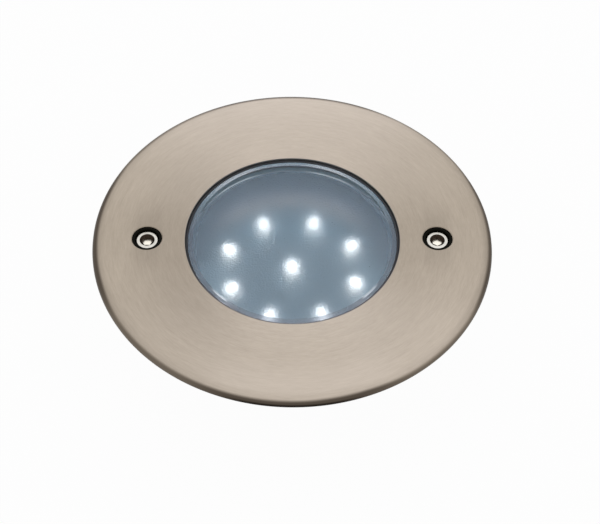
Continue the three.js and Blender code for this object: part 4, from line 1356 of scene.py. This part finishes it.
# %% Dress the solids that stay
kept = {
    "led_board": laminate,
    "driver_board": laminate,
    "terminal_block": moulded_green,
    "choke_core": ferrite,
    "choke_winding": copper,
    "capacitor": sleeve_blue,
    "rectifier": epoxy,
    "positive_lead": red_pvc,
    "negative_lead": black_pvc,
    "driver_board_screw_1": bright_steel,
    "driver_board_screw_2": bright_steel,
    "driver_board_screw_3": bright_steel,
}
for name, finish in kept.items():
    nodes[name].data.materials.clear()
    nodes[name].data.materials.append(finish.material)
print(len(kept), "solids dressed")

# %% [markdown]
# ## Floor, light and background
# The photograph has a pure white background and soft, even light from above. The floor is a plain pale
# plane under the light. It shows itself white to the camera and to what mirrors it, and lets a little
# of its own shading through, so that the shadow stays on it.

# %% Floor
BRIGHT_RAYS = ("Is Camera Ray", "Is Glossy Ray", "Is Transmission Ray")

bpy.ops.object.select_all(action="DESELECT")
bpy.ops.mesh.primitive_plane_add(size=6.0)
floor = bpy.context.active_object
floor.name = "floor"

floor_finish = Finish("pale_floor", color=(0.8, 0.8, 0.8), Roughness=0.9)
rays = floor_finish.node("ShaderNodeLightPath").socket.node.outputs
camera_ray, glossy_ray, transmission_ray = [Signal(floor_finish, rays[name]) for name in BRIGHT_RAYS]
seen = floor_finish.math("MINIMUM", camera_ray + glossy_ray + transmission_ray, 1.0)
shaded = Signal(floor_finish, floor_finish.shader.outputs[0])
white = floor_finish.node("ShaderNodeEmission", sockets={"Color": (1, 1, 1, 1), "Strength": 1.0})
mixed = floor_finish.node("ShaderNodeMixShader", sockets={0: seen * 0.97, 1: shaded, 2: white})
floor_finish.feed(floor_finish.tree.nodes["Material Output"].inputs["Surface"], mixed)
floor.data.materials.append(floor_finish.material)
print("floor", round(floor.dimensions.x, 1), "m across")

# %% [markdown]
# The world does the same. It is white for the camera, for mirrors and for glass, and lights everything
# else at about half that strength, so that the steel is neither grey nor washed out.

# %% World
world = bpy.data.worlds.new("studio")
bpy.context.scene.world = world
world.use_nodes = True
tree = world.node_tree
dim = tree.nodes["Background"]
bright = tree.nodes.new("ShaderNodeBackground")
for background, strength in ((dim, 0.55), (bright, 1.0)):
    background.inputs["Color"].default_value = (1, 1, 1, 1)
    background.inputs["Strength"].default_value = strength
path = tree.nodes.new("ShaderNodeLightPath")
either = path.outputs[BRIGHT_RAYS[0]]
for name in BRIGHT_RAYS[1:]:
    larger = tree.nodes.new("ShaderNodeMath")
    larger.operation = "MAXIMUM"
    tree.links.new(either, larger.inputs[0])
    tree.links.new(path.outputs[name], larger.inputs[1])
    either = larger.outputs[0]
choice = tree.nodes.new("ShaderNodeMixShader")
for number, output in enumerate((either, dim.outputs[0], bright.outputs[0])):
    tree.links.new(output, choice.inputs[number])
tree.links.new(choice.outputs[0], tree.nodes["World Output"].inputs["Surface"])
print("world ready")

# %% [markdown]
# A large soft lamp hangs overhead, a little to the right and behind, and a second one stands low and
# far behind the object. Because the steel is brushed in circles, each lamp draws a broad bright band
# across the ring, towards and away from itself, as in the photograph. Both are slightly blue, against
# the warm steel.


# %% Lamps
def soft_lamp(name, place, size, power):
    """A round area lamp at a place in metres, aimed at the top of the light."""
    lamp_data = bpy.data.lights.new(name, "AREA")
    lamp_data.shape = "DISK"
    lamp_data.size = size
    lamp_data.energy = power
    lamp_data.color = (1.0, 1.07, 1.3)
    lamp = bpy.data.objects.new(name, lamp_data)
    bpy.context.scene.collection.objects.link(lamp)
    lamp.location = place
    lamp.rotation_mode = "QUATERNION"
    lamp.rotation_quaternion = (LAMP_TARGET - Vector(place)).to_track_quat("-Z", "Y")
    print(name, "gives", power, "W")


LAMP_TARGET = mm(0, 0, 40)
soft_lamp("overhead_lamp", (0.12, 0.2, 1.35), size=1.6, power=1.9)
soft_lamp("low_lamp", (0.0, 1.3, 0.5), size=0.9, power=2.15)
bpy.context.scene.view_settings.view_transform = "Standard"

# %% [markdown]
